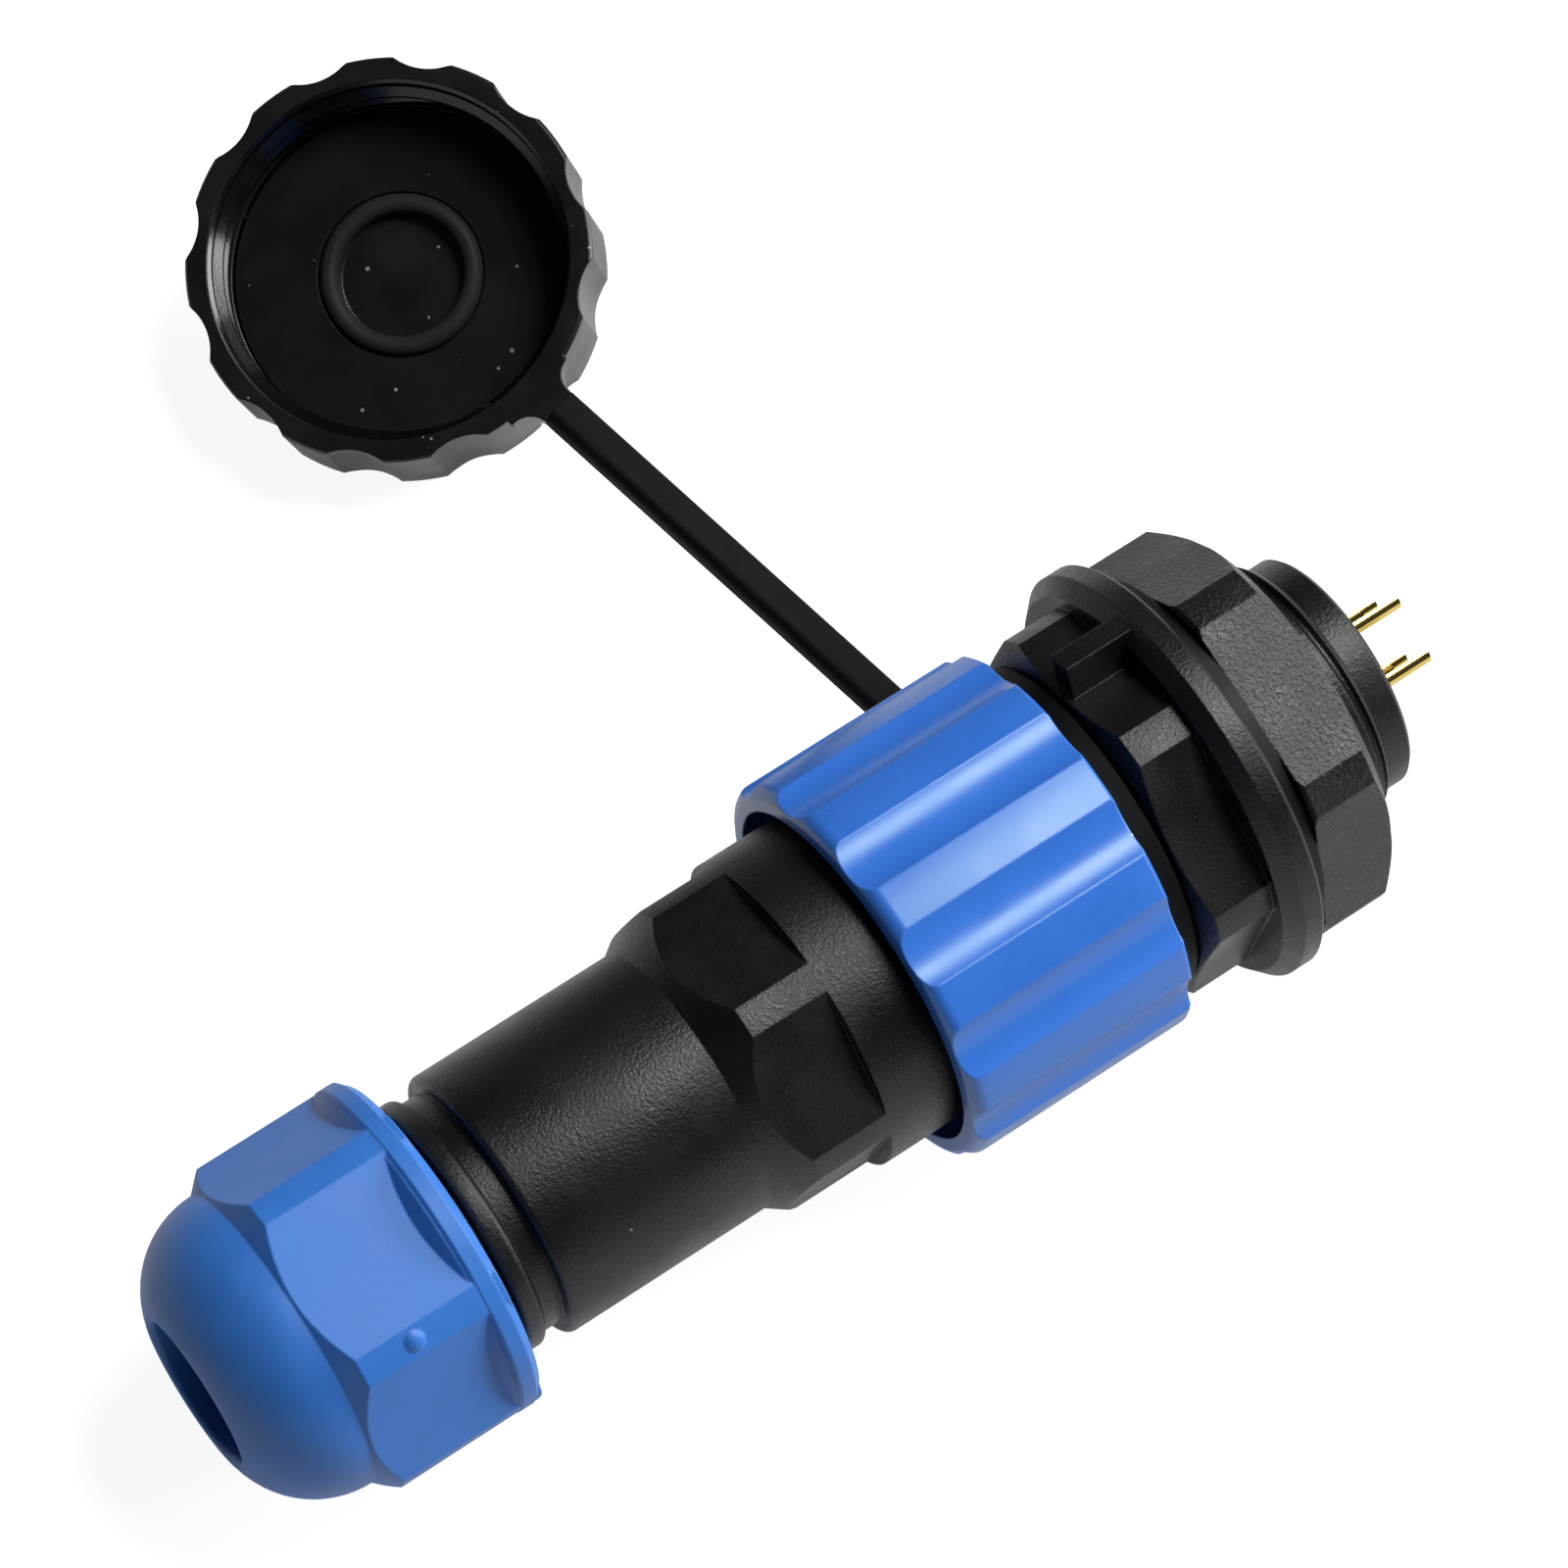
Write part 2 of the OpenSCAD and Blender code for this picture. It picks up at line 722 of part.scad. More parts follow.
// Rubber cable seal with grip ribs in its bore and a snout that reaches toward the hole of the nut
module gland_seal() {
    groove_step = (gland_seal_front - claw_rear) / (seal_rib_count + 1);
    color(rubber)
        on_axis()
            difference() {
                union() {
                    disc(gland_seal_radius, claw_rear, gland_seal_front);
                    disc(snout_radius, snout_end, claw_rear + cut);
                }
                disc(seal_bore_radius, snout_end - cut, gland_seal_front + cut);
                for (i = [1 : seal_rib_count])
                    translate([0, 0, claw_rear + groove_step * i])
                        cylinder(r = seal_bore_radius + seal_groove_depth, h = seal_groove_width);
            }
}

// Six flats of the gland nut, cropped at the corners and chamfered toward the dome
module gland_flats() {
    intersection() {
        hexagon(gland_apothem, gland_turn, gland_end, gland_front - join);
        turned([[0, gland_front], [gland_corner_radius, gland_front],
            [gland_corner_radius, dome_start + hex_chamfer],
            [dome_radius - dome_step, dome_start - join], [0, dome_start - join]]);
    }
}

// Round flange of the gland nut with the short run-out of the flats behind it
module gland_flange() {
    turned([[0, gland_flange_rear - hex_runout], [gland_apothem, gland_flange_rear - hex_runout],
        [gland_corner_radius - join, gland_flange_rear],
        [gland_flange_radius - edge_break, gland_flange_rear],
        [gland_flange_radius, gland_flange_rear + edge_break],
        [gland_flange_radius, gland_front - gland_flange_chamfer],
        [gland_flange_radius - gland_flange_chamfer, gland_front], [0, gland_front]]);
}

// Trimmed moulding gate on one corner of the gland nut
module gland_gate() {
    rotate([0, 0, gland_turn + 180])
        translate([gland_corner_radius + gate_rise - gate_round, 0, gland_flange_rear - gate_setback])
            sphere(r = gate_round);
}

// Gland nut: the dome rolls over into the cable hole in one unbroken curve
module gland_nut() {
    color(blue_nylon)
        on_axis()
            difference() {
                union() {
                    gland_flats();
                    gland_flange();
                    gland_gate();
                    turned(concat([[0, dome_start + hex_chamfer],
                        [dome_radius, dome_start + hex_chamfer]],
                        arc(14, dome_round, dome_centre, dome_start, 0, dome_sweep),
                        arc(10, hole_round, lip_centre, lip_station, dome_sweep, 180),
                        [[0, lip_station]]));
                }
                turned([[0, gland_front + cut], [gland_thread_bore, gland_front + cut],
                    [gland_thread_bore, gland_step], [gland_seat_radius, gland_step],
                    [gland_seat_radius, gland_seat], [gland_hole_radius, gland_cone_end],
                    [gland_hole_radius, gland_end - cut], [0, gland_end - cut]]);
            }
}

// Frame of the cap: origin at the centre of its mouth, Z out of the mouth, X toward the strap
module cap_frame() {
    translate(cap_mouth)
        rotate([0, cap_lean, cap_heading])
            rotate([0, 0, cap_spin])
                children();
}

// Frame of the knuckle: Z along the flex axis, Y along the tab, X against the connector axis
module knuckle_frame() {
    translate(knuckle)
        rotate([loop_rise, 0, 0])
            children();
}

module cap_loop() {
    color(black_nylon)
        difference() {
            union() {
                on_axis()
                    disc(loop_radius, loop_front, loop_front + loop_thickness);
                knuckle_frame()
                    translate([-loop_thickness / 2, -tab_length, -strap_thickness / 2])
                        cube([loop_thickness, tab_length, strap_thickness]);
                knuckle_frame()
                    translate([0, 0, -strap_thickness / 2])
                        cylinder(r = knuckle_radius, h = strap_thickness);
            }
            on_axis()
                disc(loop_bore_radius, loop_front - cut, loop_front + loop_thickness + cut);
        }
}

// Strap from the knuckle of the loop to the root on the cap
module cap_strap() {
    flat_height = strap_thickness - 2 * strap_edge;
    flat_width = strap_width - 2 * strap_edge;
    color(black_nylon)
        difference() {
            translate(knuckle)
                rotate([0, acos(strap_run.z / strap_length), atan2(strap_run.y, strap_run.x)])
                    linear_extrude(height = strap_length + strap_overrun)
                        union() {
                            square([flat_height, strap_width], center = true);
                            square([strap_thickness, flat_width], center = true);
                            for (sx = [-1, 1], sy = [-1, 1])
                                translate([sx * flat_height / 2, sy * flat_width / 2])
                                    circle(r = strap_edge);
                        }
            knuckle_frame()
                translate([0, 0, -2 * strap_thickness])
                    cylinder(r = knuckle_radius + knuckle_clearance, h = 4 * strap_thickness);
            cap_frame()
                translate([root_end - 2 * cap_radius, -cap_radius, -cap_radius])
                    cube([2 * cap_radius, 2 * cap_radius, 2 * cap_radius]);
        }
}

// Flared root that joins the strap to the wall of the cap
module strap_root() {
    inner = cap_bore_radius + root_sink;
    translate([0, strap_side, -strap_thickness])
        linear_extrude(height = strap_thickness)
            difference() {
                translate([inner, -strap_width / 2 - root_length])
                    square([root_end - inner, strap_width + 2 * root_length]);
                for (side = [-1, 1])
                    translate([root_end, side * (strap_width / 2 + root_length)])
                        circle(r = root_length);
            }
}

// Sealing rib on the floor of the cap, round on top
module floor_rib() {
    rib_crown = cap_rib_thickness / 2;
    rotate_extrude()
        translate([cap_rib_radius - rib_crown, cap_rib_height - rib_crown - cap_depth])
            union() {
                circle(r = rib_crown);
                translate([-rib_crown, -cap_rib_height])
                    square([cap_rib_thickness, cap_rib_height]);
            }
}

module dust_cap() {
    half_lobe = 180 / lobe_count;
    color(black_nylon)
        cap_frame()
            difference() {
                union() {
                    intersection() {
                        lobed(cap_radius, half_lobe, -cap_height, 0);
                        turned([[0, -cap_height], [cap_radius - cap_edge, -cap_height],
                            [cap_radius, cap_edge - cap_height], [cap_radius, -fine_edge],
                            [cap_radius - fine_edge, 0], [0, 0]]);
                    }
                    strap_root();
                }
                difference() {
                    turned([[0, -cap_depth], [cap_seat_radius, -cap_depth],
                        [cap_seat_radius, cap_seat_height - cap_depth],
                        [cap_bore_radius, cap_seat_height - cap_depth],
                        [cap_bore_radius, -edge_break], [cap_bore_radius + edge_break, 0],
                        [cap_bore_radius + edge_break, cut], [0, cut]]);
                    floor_rib();
                }
            }
}

module cap_gasket() {
    color(rubber)
        cap_frame()
            tube(cap_seat_radius - insert_clearance, cap_gasket_bore, -cap_depth,
                cap_gasket_thickness - cap_depth);
}

socket_shell();
socket_insert();
insert_seal();
insert_retainer();
socket_pin(0);  // socket_pin_1
socket_pin(1);  // socket_pin_2
socket_pin(2);  // socket_pin_3
socket_pin(3);  // socket_pin_4
panel_gasket();
panel_nut();
plug_shell();
plug_insert();
hub_o_ring();
interface_seal();
plug_contact(0);  // plug_contact_1
plug_contact(1);  // plug_contact_2
plug_contact(2);  // plug_contact_3
plug_contact(3);  // plug_contact_4
coupling_ring();
gland_claw();
gland_seal();
gland_nut();
cap_loop();
cap_strap();
dust_cap();
cap_gasket();
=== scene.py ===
"""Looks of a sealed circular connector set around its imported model.

A panel socket with its nut, the cable plug that screws onto it, the plug's cable gland and a dust
cap on a strap each have a class that carves or builds their meshes and gives them their finishes.
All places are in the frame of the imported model, in metres, with the connector axis along X.
"""
import json
import logging
import math
from dataclasses import dataclass, field
from enum import Enum

import bmesh
import bpy
from mathutils import Matrix, Vector

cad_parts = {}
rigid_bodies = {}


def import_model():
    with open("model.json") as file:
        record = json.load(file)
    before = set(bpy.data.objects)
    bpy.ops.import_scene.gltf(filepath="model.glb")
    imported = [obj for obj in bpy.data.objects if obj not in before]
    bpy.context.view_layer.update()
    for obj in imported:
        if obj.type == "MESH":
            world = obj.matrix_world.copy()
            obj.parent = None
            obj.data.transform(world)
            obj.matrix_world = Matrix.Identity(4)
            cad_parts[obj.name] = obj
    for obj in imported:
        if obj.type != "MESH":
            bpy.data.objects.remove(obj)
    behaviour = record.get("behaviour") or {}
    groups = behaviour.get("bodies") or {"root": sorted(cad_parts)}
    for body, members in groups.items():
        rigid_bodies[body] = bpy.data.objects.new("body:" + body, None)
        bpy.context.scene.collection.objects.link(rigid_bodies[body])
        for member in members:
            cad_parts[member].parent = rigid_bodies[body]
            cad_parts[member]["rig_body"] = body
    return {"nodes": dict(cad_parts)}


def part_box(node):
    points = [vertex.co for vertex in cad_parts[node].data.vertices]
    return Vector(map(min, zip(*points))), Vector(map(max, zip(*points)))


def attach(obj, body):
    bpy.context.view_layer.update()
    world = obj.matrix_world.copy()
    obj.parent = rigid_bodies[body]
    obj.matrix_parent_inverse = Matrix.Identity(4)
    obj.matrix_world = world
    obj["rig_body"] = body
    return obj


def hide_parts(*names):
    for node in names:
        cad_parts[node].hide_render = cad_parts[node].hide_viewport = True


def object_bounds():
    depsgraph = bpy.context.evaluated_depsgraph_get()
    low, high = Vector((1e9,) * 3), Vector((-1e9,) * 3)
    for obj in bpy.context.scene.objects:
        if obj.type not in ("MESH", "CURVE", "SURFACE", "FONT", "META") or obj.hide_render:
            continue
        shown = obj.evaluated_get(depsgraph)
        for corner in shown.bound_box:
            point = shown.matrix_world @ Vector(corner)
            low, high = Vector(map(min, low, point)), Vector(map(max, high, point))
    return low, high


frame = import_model()
CAD_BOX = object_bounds()

LOG = logging.getLogger("connector_set")
MM = 0.001
Colour = tuple[float, float, float]
Span = tuple[float, float]
UNIT: Span = (0.0, 1.0)
WHITE = (1.0, 1.0, 1.0, 1.0)


class Slot(Enum):
    """Material slots of the record."""

    BLACK = "black_nylon"
    BLUE = "blue_nylon"
    INSULATOR = "insulator"
    SEAL = "seal_rubber"
    CAP = "cap_rubber"
    PLATING = "contact_plating"


class Finish(Enum):
    """Finishes of the pieces; one slot can have several."""

    BLACK = "black_nylon"
    BLACK_COARSE = "black_nylon_coarse"
    BLUE = "blue_nylon"
    BLUE_SATIN = "blue_nylon_satin"
    INSULATOR = "insulator"
    SEAL = "seal_rubber"
    SEAL_DARK = "seal_rubber_dark"
    CAP = "cap_rubber"
    # Darker matt cap finish: painted shade on the loop, plain matt on the strap
    CAP_MATT_AND_SHADE = "cap_rubber_matt"
    # Painted highlight: the lighter finish of the rib on the cap's floor
    CAP_RIB_HIGHLIGHT = "cap_rubber_worn"
    CAP_POLISHED = "cap_rubber_polished"
    PLATING = "contact_plating"


class Side(Enum):
    """Which way the relief of a thread goes from its face."""

    INWARD = -1
    OUTWARD = 1


class Relief(Enum):
    """What the bar of a thread does to a mesh, by the name of the solid operation."""

    GROOVE = "DIFFERENCE"
    RIDGE = "UNION"


class ShaderGraph:
    """Adds named nodes and links to a material or a node group."""

    # Places of the colour sockets among the sockets of the mix node
    MIX_COLOURS = (6, 7)
    MIX_RESULT = 2

    def __init__(self, tree: bpy.types.NodeTree) -> None:
        """Keeps the tree that the nodes go into.

        Args:
            tree: Node tree of a material or a group.
        """
        self.tree = tree

    def add(self, kind: str, label: str, **values: object) -> bpy.types.Node:
        """Adds one node.

        Args:
            kind: Blender's name for the node type.
            label: Plain name shown on the node.
            **values: Attributes of the node to set.

        Returns:
            The new node.
        """
        node = self.tree.nodes.new(kind)
        node.label = label
        for key, value in values.items():
            setattr(node, key, value)
        return node

    def link(self, source: bpy.types.NodeSocket, target: bpy.types.NodeSocket) -> None:
        """Links an output to an input."""
        self.tree.links.new(source, target)

    def feed(self, target: bpy.types.NodeSocket, value: object) -> None:
        """Links an input to a socket, or sets it to a number or a colour.

        Args:
            target: Input to feed.
            value: Socket, number or colour.
        """
        if isinstance(value, bpy.types.NodeSocket):
            self.link(value, target)
        else:
            target.default_value = (*value, 1.0) if isinstance(value, tuple) else value

    def math(self, operation: str, label: str, *inputs: object) -> bpy.types.NodeSocket:
        """Adds a math node fed by sockets or numbers.

        Args:
            operation: Blender's name for the operation.
            label: Plain name shown on the node.
            *inputs: Sockets or numbers, in order.

        Returns:
            The result's socket.
        """
        node = self.add("ShaderNodeMath", label, operation=operation)
        for target, value in zip(node.inputs, inputs):
            self.feed(target, value)
        return node.outputs[0]

    def remap(self, value: bpy.types.NodeSocket, label: str, span: Span,
              result: Span = UNIT) -> bpy.types.NodeSocket:
        """Maps a value smoothly from one span to another.

        Args:
            value: Socket to map.
            label: Plain name shown on the node.
            span: Values that map to the ends of the result.
            result: Ends of the result.

        Returns:
            The mapped socket.
        """
        node = self.add("ShaderNodeMapRange", label, interpolation_type="SMOOTHSTEP")
        self.link(value, node.inputs["Value"])
        names = ("From Min", "From Max", "To Min", "To Max")
        for name, limit in zip(names, (*span, *result)):
            node.inputs[name].default_value = limit
        return node.outputs["Result"]

    def mix(self, factor: bpy.types.NodeSocket, label: str, first: object,
            second: object) -> bpy.types.NodeSocket:
        """Mixes two colours by a mask.

        Args:
            factor: Mask, 0 for the first colour and 1 for the second.
            label: Plain name shown on the node.
            first: Colour or socket.
            second: Colour or socket.

        Returns:
            The mixed colour's socket.
        """
        node = self.add("ShaderNodeMix", label, data_type="RGBA")
        self.link(factor, node.inputs["Factor"])
        for index, colour in zip(self.MIX_COLOURS, (first, second)):
            self.feed(node.inputs[index], colour)
        return node.outputs[self.MIX_RESULT]

    def noise(self, place: bpy.types.NodeSocket, label: str, detail: float,
              roughness: float = 0.5) -> bpy.types.NodeSocket:
        """Adds a noise of one cell a unit.

        Args:
            place: Vector that the noise is read at.
            label: Plain name shown on the node.
            detail: Number of finer layers.
            roughness: Strength of each finer layer.

        Returns:
            The noise's socket.
        """
        node = self.add("ShaderNodeTexNoise", label)
        for name, value in (("Scale", 1.0), ("Detail", detail), ("Roughness", roughness)):
            node.inputs[name].default_value = value
        self.link(place, node.inputs["Vector"])
        return node.outputs["Fac"]

    def group(self, tree: bpy.types.NodeTree, label: str, **values: float) -> bpy.types.Node:
        """Adds a node group.

        Args:
            tree: Tree of the group.
            label: Plain name shown on the node.
            **values: Inputs to set, with an underscore for each space.

        Returns:
            The group's node.
        """
        node = self.add("ShaderNodeGroup", label, node_tree=tree)
        for name, value in values.items():
            node.inputs[name.replace("_", " ")].default_value = value
        return node

    def scaled_place(self, size: bpy.types.NodeSocket, label: str) -> bpy.types.NodeSocket:
        """Place on the object divided by a size, so that one unit is one cell.

        Args:
            size: Socket with the cell size in metres.
            label: Plain name shown on the node.

        Returns:
            The vector's socket.
        """
        place = self.add("ShaderNodeTexCoord", "place on the piece")
        rate = self.math("DIVIDE", "cells a metre", 1.0, size)
        scaled = self.add("ShaderNodeVectorMath", label, operation="SCALE")
        self.link(place.outputs["Object"], scaled.inputs[0])
        self.link(rate, scaled.inputs["Scale"])
        return scaled.outputs["Vector"]


class EffectGroups:
    """Shared surface effects, each one node group.

    Each span names the values between which an effect comes in.
    """

    NUMBER = "NodeSocketFloat"
    VECTOR = "NodeSocketVector"
    EDGE_SAMPLES = 6
    EDGE_SPAN: Span = (0.995, 0.9)
    RUB_SPAN: Span = (0.35, 0.65)
    FLECK_SPAN: Span = (0.52, 0.7)
    DRIFT_SPAN: Span = (0.3, 0.7)

    def __init__(self) -> None:
        """Builds every group once."""
        self.grain = self._grain()
        self.edge = self._edge()
        self.dust = self._dust()
        self.mottle = self._mottle()

    def _new(self, name: str, inputs: dict[str, float],
             outputs: dict[str, str]) -> tuple[ShaderGraph, bpy.types.Node, bpy.types.Node]:
        """Starts a group with its sockets.

        Args:
            name: Name of the group.
            inputs: Value of each input, by name.
            outputs: Socket type of each output, by name.

        Returns:
            Graph of the new group, the node that brings values in and the node that takes them out.
        """
        tree = bpy.data.node_groups.new(name, "ShaderNodeTree")
        for label, value in inputs.items():
            socket = tree.interface.new_socket(name=label, in_out="INPUT", socket_type=self.NUMBER)
            socket.default_value = value
        for label, kind in outputs.items():
            tree.interface.new_socket(name=label, in_out="OUTPUT", socket_type=kind)
        graph = ShaderGraph(tree)
        entry = graph.add("NodeGroupInput", "values in")
        return graph, entry, graph.add("NodeGroupOutput", "values out")

    def _grain(self) -> bpy.types.NodeTree:
        """Fine moulded grain: a height and the share of lighter flecks.

        Returns:
            Tree of the group.
        """
        graph, entry, leave = self._new("moulded_grain", {"Cell Size": 0.2 * MM},
                                        {"Height": self.NUMBER, "Fleck": self.NUMBER})
        place = graph.scaled_place(entry.outputs["Cell Size"], "grain cells")
        height = graph.noise(place, "grain", detail=3.0, roughness=0.65)
        graph.link(height, leave.inputs["Height"])
        graph.link(graph.remap(height, "light flecks", self.FLECK_SPAN), leave.inputs["Fleck"])
        return graph.tree

    def _edge(self) -> bpy.types.NodeTree:
        """Rounded edges: the softened normal and a broken mask along edges.

        Returns:
            Tree of the group.
        """
        graph, entry, leave = self._new("edge_rub", {"Radius": 0.2 * MM, "Patch Size": 1.2 * MM},
                                        {"Mask": self.NUMBER, "Normal": self.VECTOR})
        bevel = graph.add("ShaderNodeBevel", "rounded edge", samples=self.EDGE_SAMPLES)
        graph.link(entry.outputs["Radius"], bevel.inputs["Radius"])
        flat = graph.add("ShaderNodeNewGeometry", "flat normal")
        dot = graph.add("ShaderNodeVectorMath", "how flat", operation="DOT_PRODUCT")
        graph.link(bevel.outputs["Normal"], dot.inputs[0])
        graph.link(flat.outputs["Normal"], dot.inputs[1])
        bend = graph.remap(dot.outputs["Value"], "edge", self.EDGE_SPAN)
        place = graph.scaled_place(entry.outputs["Patch Size"], "rub patches")
        noise = graph.noise(place, "patches", detail=2.0)
        patch = graph.remap(noise, "rubbed patches", self.RUB_SPAN)
        graph.link(graph.math("MULTIPLY", "rubbed edge", bend, patch), leave.inputs["Mask"])
        graph.link(bevel.outputs["Normal"], leave.inputs["Normal"])
        return graph.tree

    def _dust(self) -> bpy.types.NodeTree:
        """Sparse pale specks.

        Returns:
            Tree of the group.
        """
        graph, entry, leave = self._new(
            "dust_specks", {"Spacing": 1.7 * MM, "Share": 0.25, "Speck": 0.1}, {"Mask": self.NUMBER})
        place = graph.scaled_place(entry.outputs["Spacing"], "dust cells")
        cells = graph.add("ShaderNodeTexVoronoi", "dust cells")
        cells.inputs["Scale"].default_value = 1.0
        graph.link(place, cells.inputs["Vector"])
        pick = graph.add("ShaderNodeSeparateColor", "cell draw")
        graph.link(cells.outputs["Color"], pick.inputs["Color"])
        share, speck = entry.outputs["Share"], entry.outputs["Speck"]
        chosen = graph.math("LESS_THAN", "cell has a speck", pick.outputs["Red"], share)
        radius = graph.math("MULTIPLY", "speck radius", pick.outputs["Green"], speck)
        inside = graph.math("LESS_THAN", "inside the speck", cells.outputs["Distance"], radius)
        graph.link(graph.math("MULTIPLY", "speck", chosen, inside), leave.inputs["Mask"])
        return graph.tree

    def _mottle(self) -> bpy.types.NodeTree:
        """Slow drift of tone across a moulding.

        Returns:
            Tree of the group.
        """
        graph, entry, leave = self._new("flow_mottle", {"Patch Size": 6 * MM},
                                        {"Value": self.NUMBER})
        place = graph.scaled_place(entry.outputs["Patch Size"], "mottle patches")
        noise = graph.noise(place, "mottle", detail=4.0, roughness=0.55)
        graph.link(graph.remap(noise, "drift", self.DRIFT_SPAN), leave.inputs["Value"])
        return graph.tree


def start_material(name: str) -> tuple[bpy.types.Material, ShaderGraph, bpy.types.Node]:
    """Starts a material.

    Args:
        name: Name of the material.

    Returns:
        The material, its graph and its shader.
    """
    made = bpy.data.materials.new(name)
    made.use_nodes = True
    return made, ShaderGraph(made.node_tree), made.node_tree.nodes["Principled BSDF"]


@dataclass(frozen=True)
class Moulding:
    """Finish of a moulded plastic or rubber.

    Attributes:
        slot: Slot of the record.
        base: Colour of the body.
        deep: Colour in the darker drifts of tone.
        fleck: Colour of the lighter grain.
        fleck_share: How strongly the grain shows, 0 to 1.
        rub: Colour that edges rub to.
        rub_share: How strongly edges show the rub.
        dust: Colour of specks.
        roughness: Roughness of the body.
        roughness_drift: Change of roughness across the mottle.
        specular: Specular level.
        grain_size: Size of the grain, metres.
        grain_depth: Bump distance of the grain, metres.
        edge_radius: Radius that softens edges, metres.
        dust_share: Share of dust cells that hold a speck.
        glint: How much smoother the lighter grain is than the body.
        sheen: Tint of the highlights.
    """

    slot: Slot
    base: Colour
    deep: Colour
    fleck: Colour
    fleck_share: float
    rub: Colour
    rub_share: float
    dust: Colour
    roughness: float
    roughness_drift: float
    specular: float
    grain_size: float
    grain_depth: float
    edge_radius: float
    dust_share: float
    glint: float = 0.0
    sheen: Colour = (1.0, 1.0, 1.0)

    def material(self, name: str, groups: EffectGroups) -> bpy.types.Material:
        """Builds the material.

        Args:
            name: Name of the material.
            groups: Shared surface effects.

        Returns:
            The finished material.
        """
        made, graph, shader = start_material(name)
        shader.inputs["Specular IOR Level"].default_value = self.specular
        shader.inputs["Specular Tint"].default_value = (*self.sheen, 1.0)
        grain = graph.group(groups.grain, "grain", Cell_Size=self.grain_size)
        edge = graph.group(groups.edge, "edges", Radius=self.edge_radius)
        dust = graph.group(groups.dust, "dust", Share=self.dust_share)
        mottle = graph.group(groups.mottle, "mottle")

        body = graph.mix(mottle.outputs["Value"], "drift of tone", self.deep, self.base)
        fleck = graph.math("MULTIPLY", "fleck strength", grain.outputs["Fleck"], self.fleck_share)
        body = graph.mix(fleck, "grain colour", body, self.fleck)
        rub = graph.math("MULTIPLY", "rub strength", edge.outputs["Mask"], self.rub_share)
        body = graph.mix(rub, "rubbed edges", body, self.rub)
        body = graph.mix(dust.outputs["Mask"], "dusted colour", body, self.dust)
        graph.link(body, shader.inputs["Base Color"])

        limits = (self.roughness - self.roughness_drift, self.roughness + self.roughness_drift)
        drift = graph.remap(mottle.outputs["Value"], "roughness", UNIT, limits)
        glint = graph.math("MULTIPLY", "smoother grain", grain.outputs["Fleck"], self.glint)
        rough = graph.math("SUBTRACT", "glinting grain", drift, glint)
        graph.link(rough, shader.inputs["Roughness"])
        bump = graph.add("ShaderNodeBump", "grain relief")
        bump.inputs["Strength"].default_value = 1.0
        bump.inputs["Distance"].default_value = self.grain_depth
        graph.link(grain.outputs["Height"], bump.inputs["Height"])
        graph.link(edge.outputs["Normal"], bump.inputs["Normal"])
        graph.link(bump.outputs["Normal"], shader.inputs["Normal"])
        return made


@dataclass(frozen=True)
class Plating:
    """Finish of a plated contact.

    Attributes:
        slot: Slot of the record.
        base: Colour of the plating.
        deep: Colour in darker drifts.
        roughness: Roughness of the plating.
        grain_size: Size of the turning marks, metres.
        grain_depth: Bump distance of the turning marks, metres.
        roughness_spread: Change of roughness across the turning marks, as a share of it.
        patch_size: Size of the drifts, metres.
    """

    slot: Slot
    base: Colour
    deep: Colour
    roughness: float
    grain_size: float
    grain_depth: float
    roughness_spread: float = 0.3
    patch_size: float = 2 * MM

    def material(self, name: str, groups: EffectGroups) -> bpy.types.Material:
        """Builds the material.

        Args:
            name: Name of the material.
            groups: Shared surface effects.

        Returns:
            The finished material.
        """
        made, graph, shader = start_material(name)
        shader.inputs["Metallic"].default_value = 1.0
        mottle = graph.group(groups.mottle, "drift", Patch_Size=self.patch_size)
        grain = graph.group(groups.grain, "turning marks", Cell_Size=self.grain_size)
        colour = graph.mix(mottle.outputs["Value"], "plating colour", self.deep, self.base)
        graph.link(colour, shader.inputs["Base Color"])
        spread = self.roughness_spread * self.roughness
        limits = (self.roughness - spread, self.roughness + spread)
        rough = graph.remap(grain.outputs["Height"], "roughness", groups.DRIFT_SPAN, limits)
        graph.link(rough, shader.inputs["Roughness"])
        bump = graph.add("ShaderNodeBump", "turning relief")
        bump.inputs["Distance"].default_value = self.grain_depth
        graph.link(grain.outputs["Height"], bump.inputs["Height"])
        graph.link(bump.outputs["Normal"], shader.inputs["Normal"])
        return made


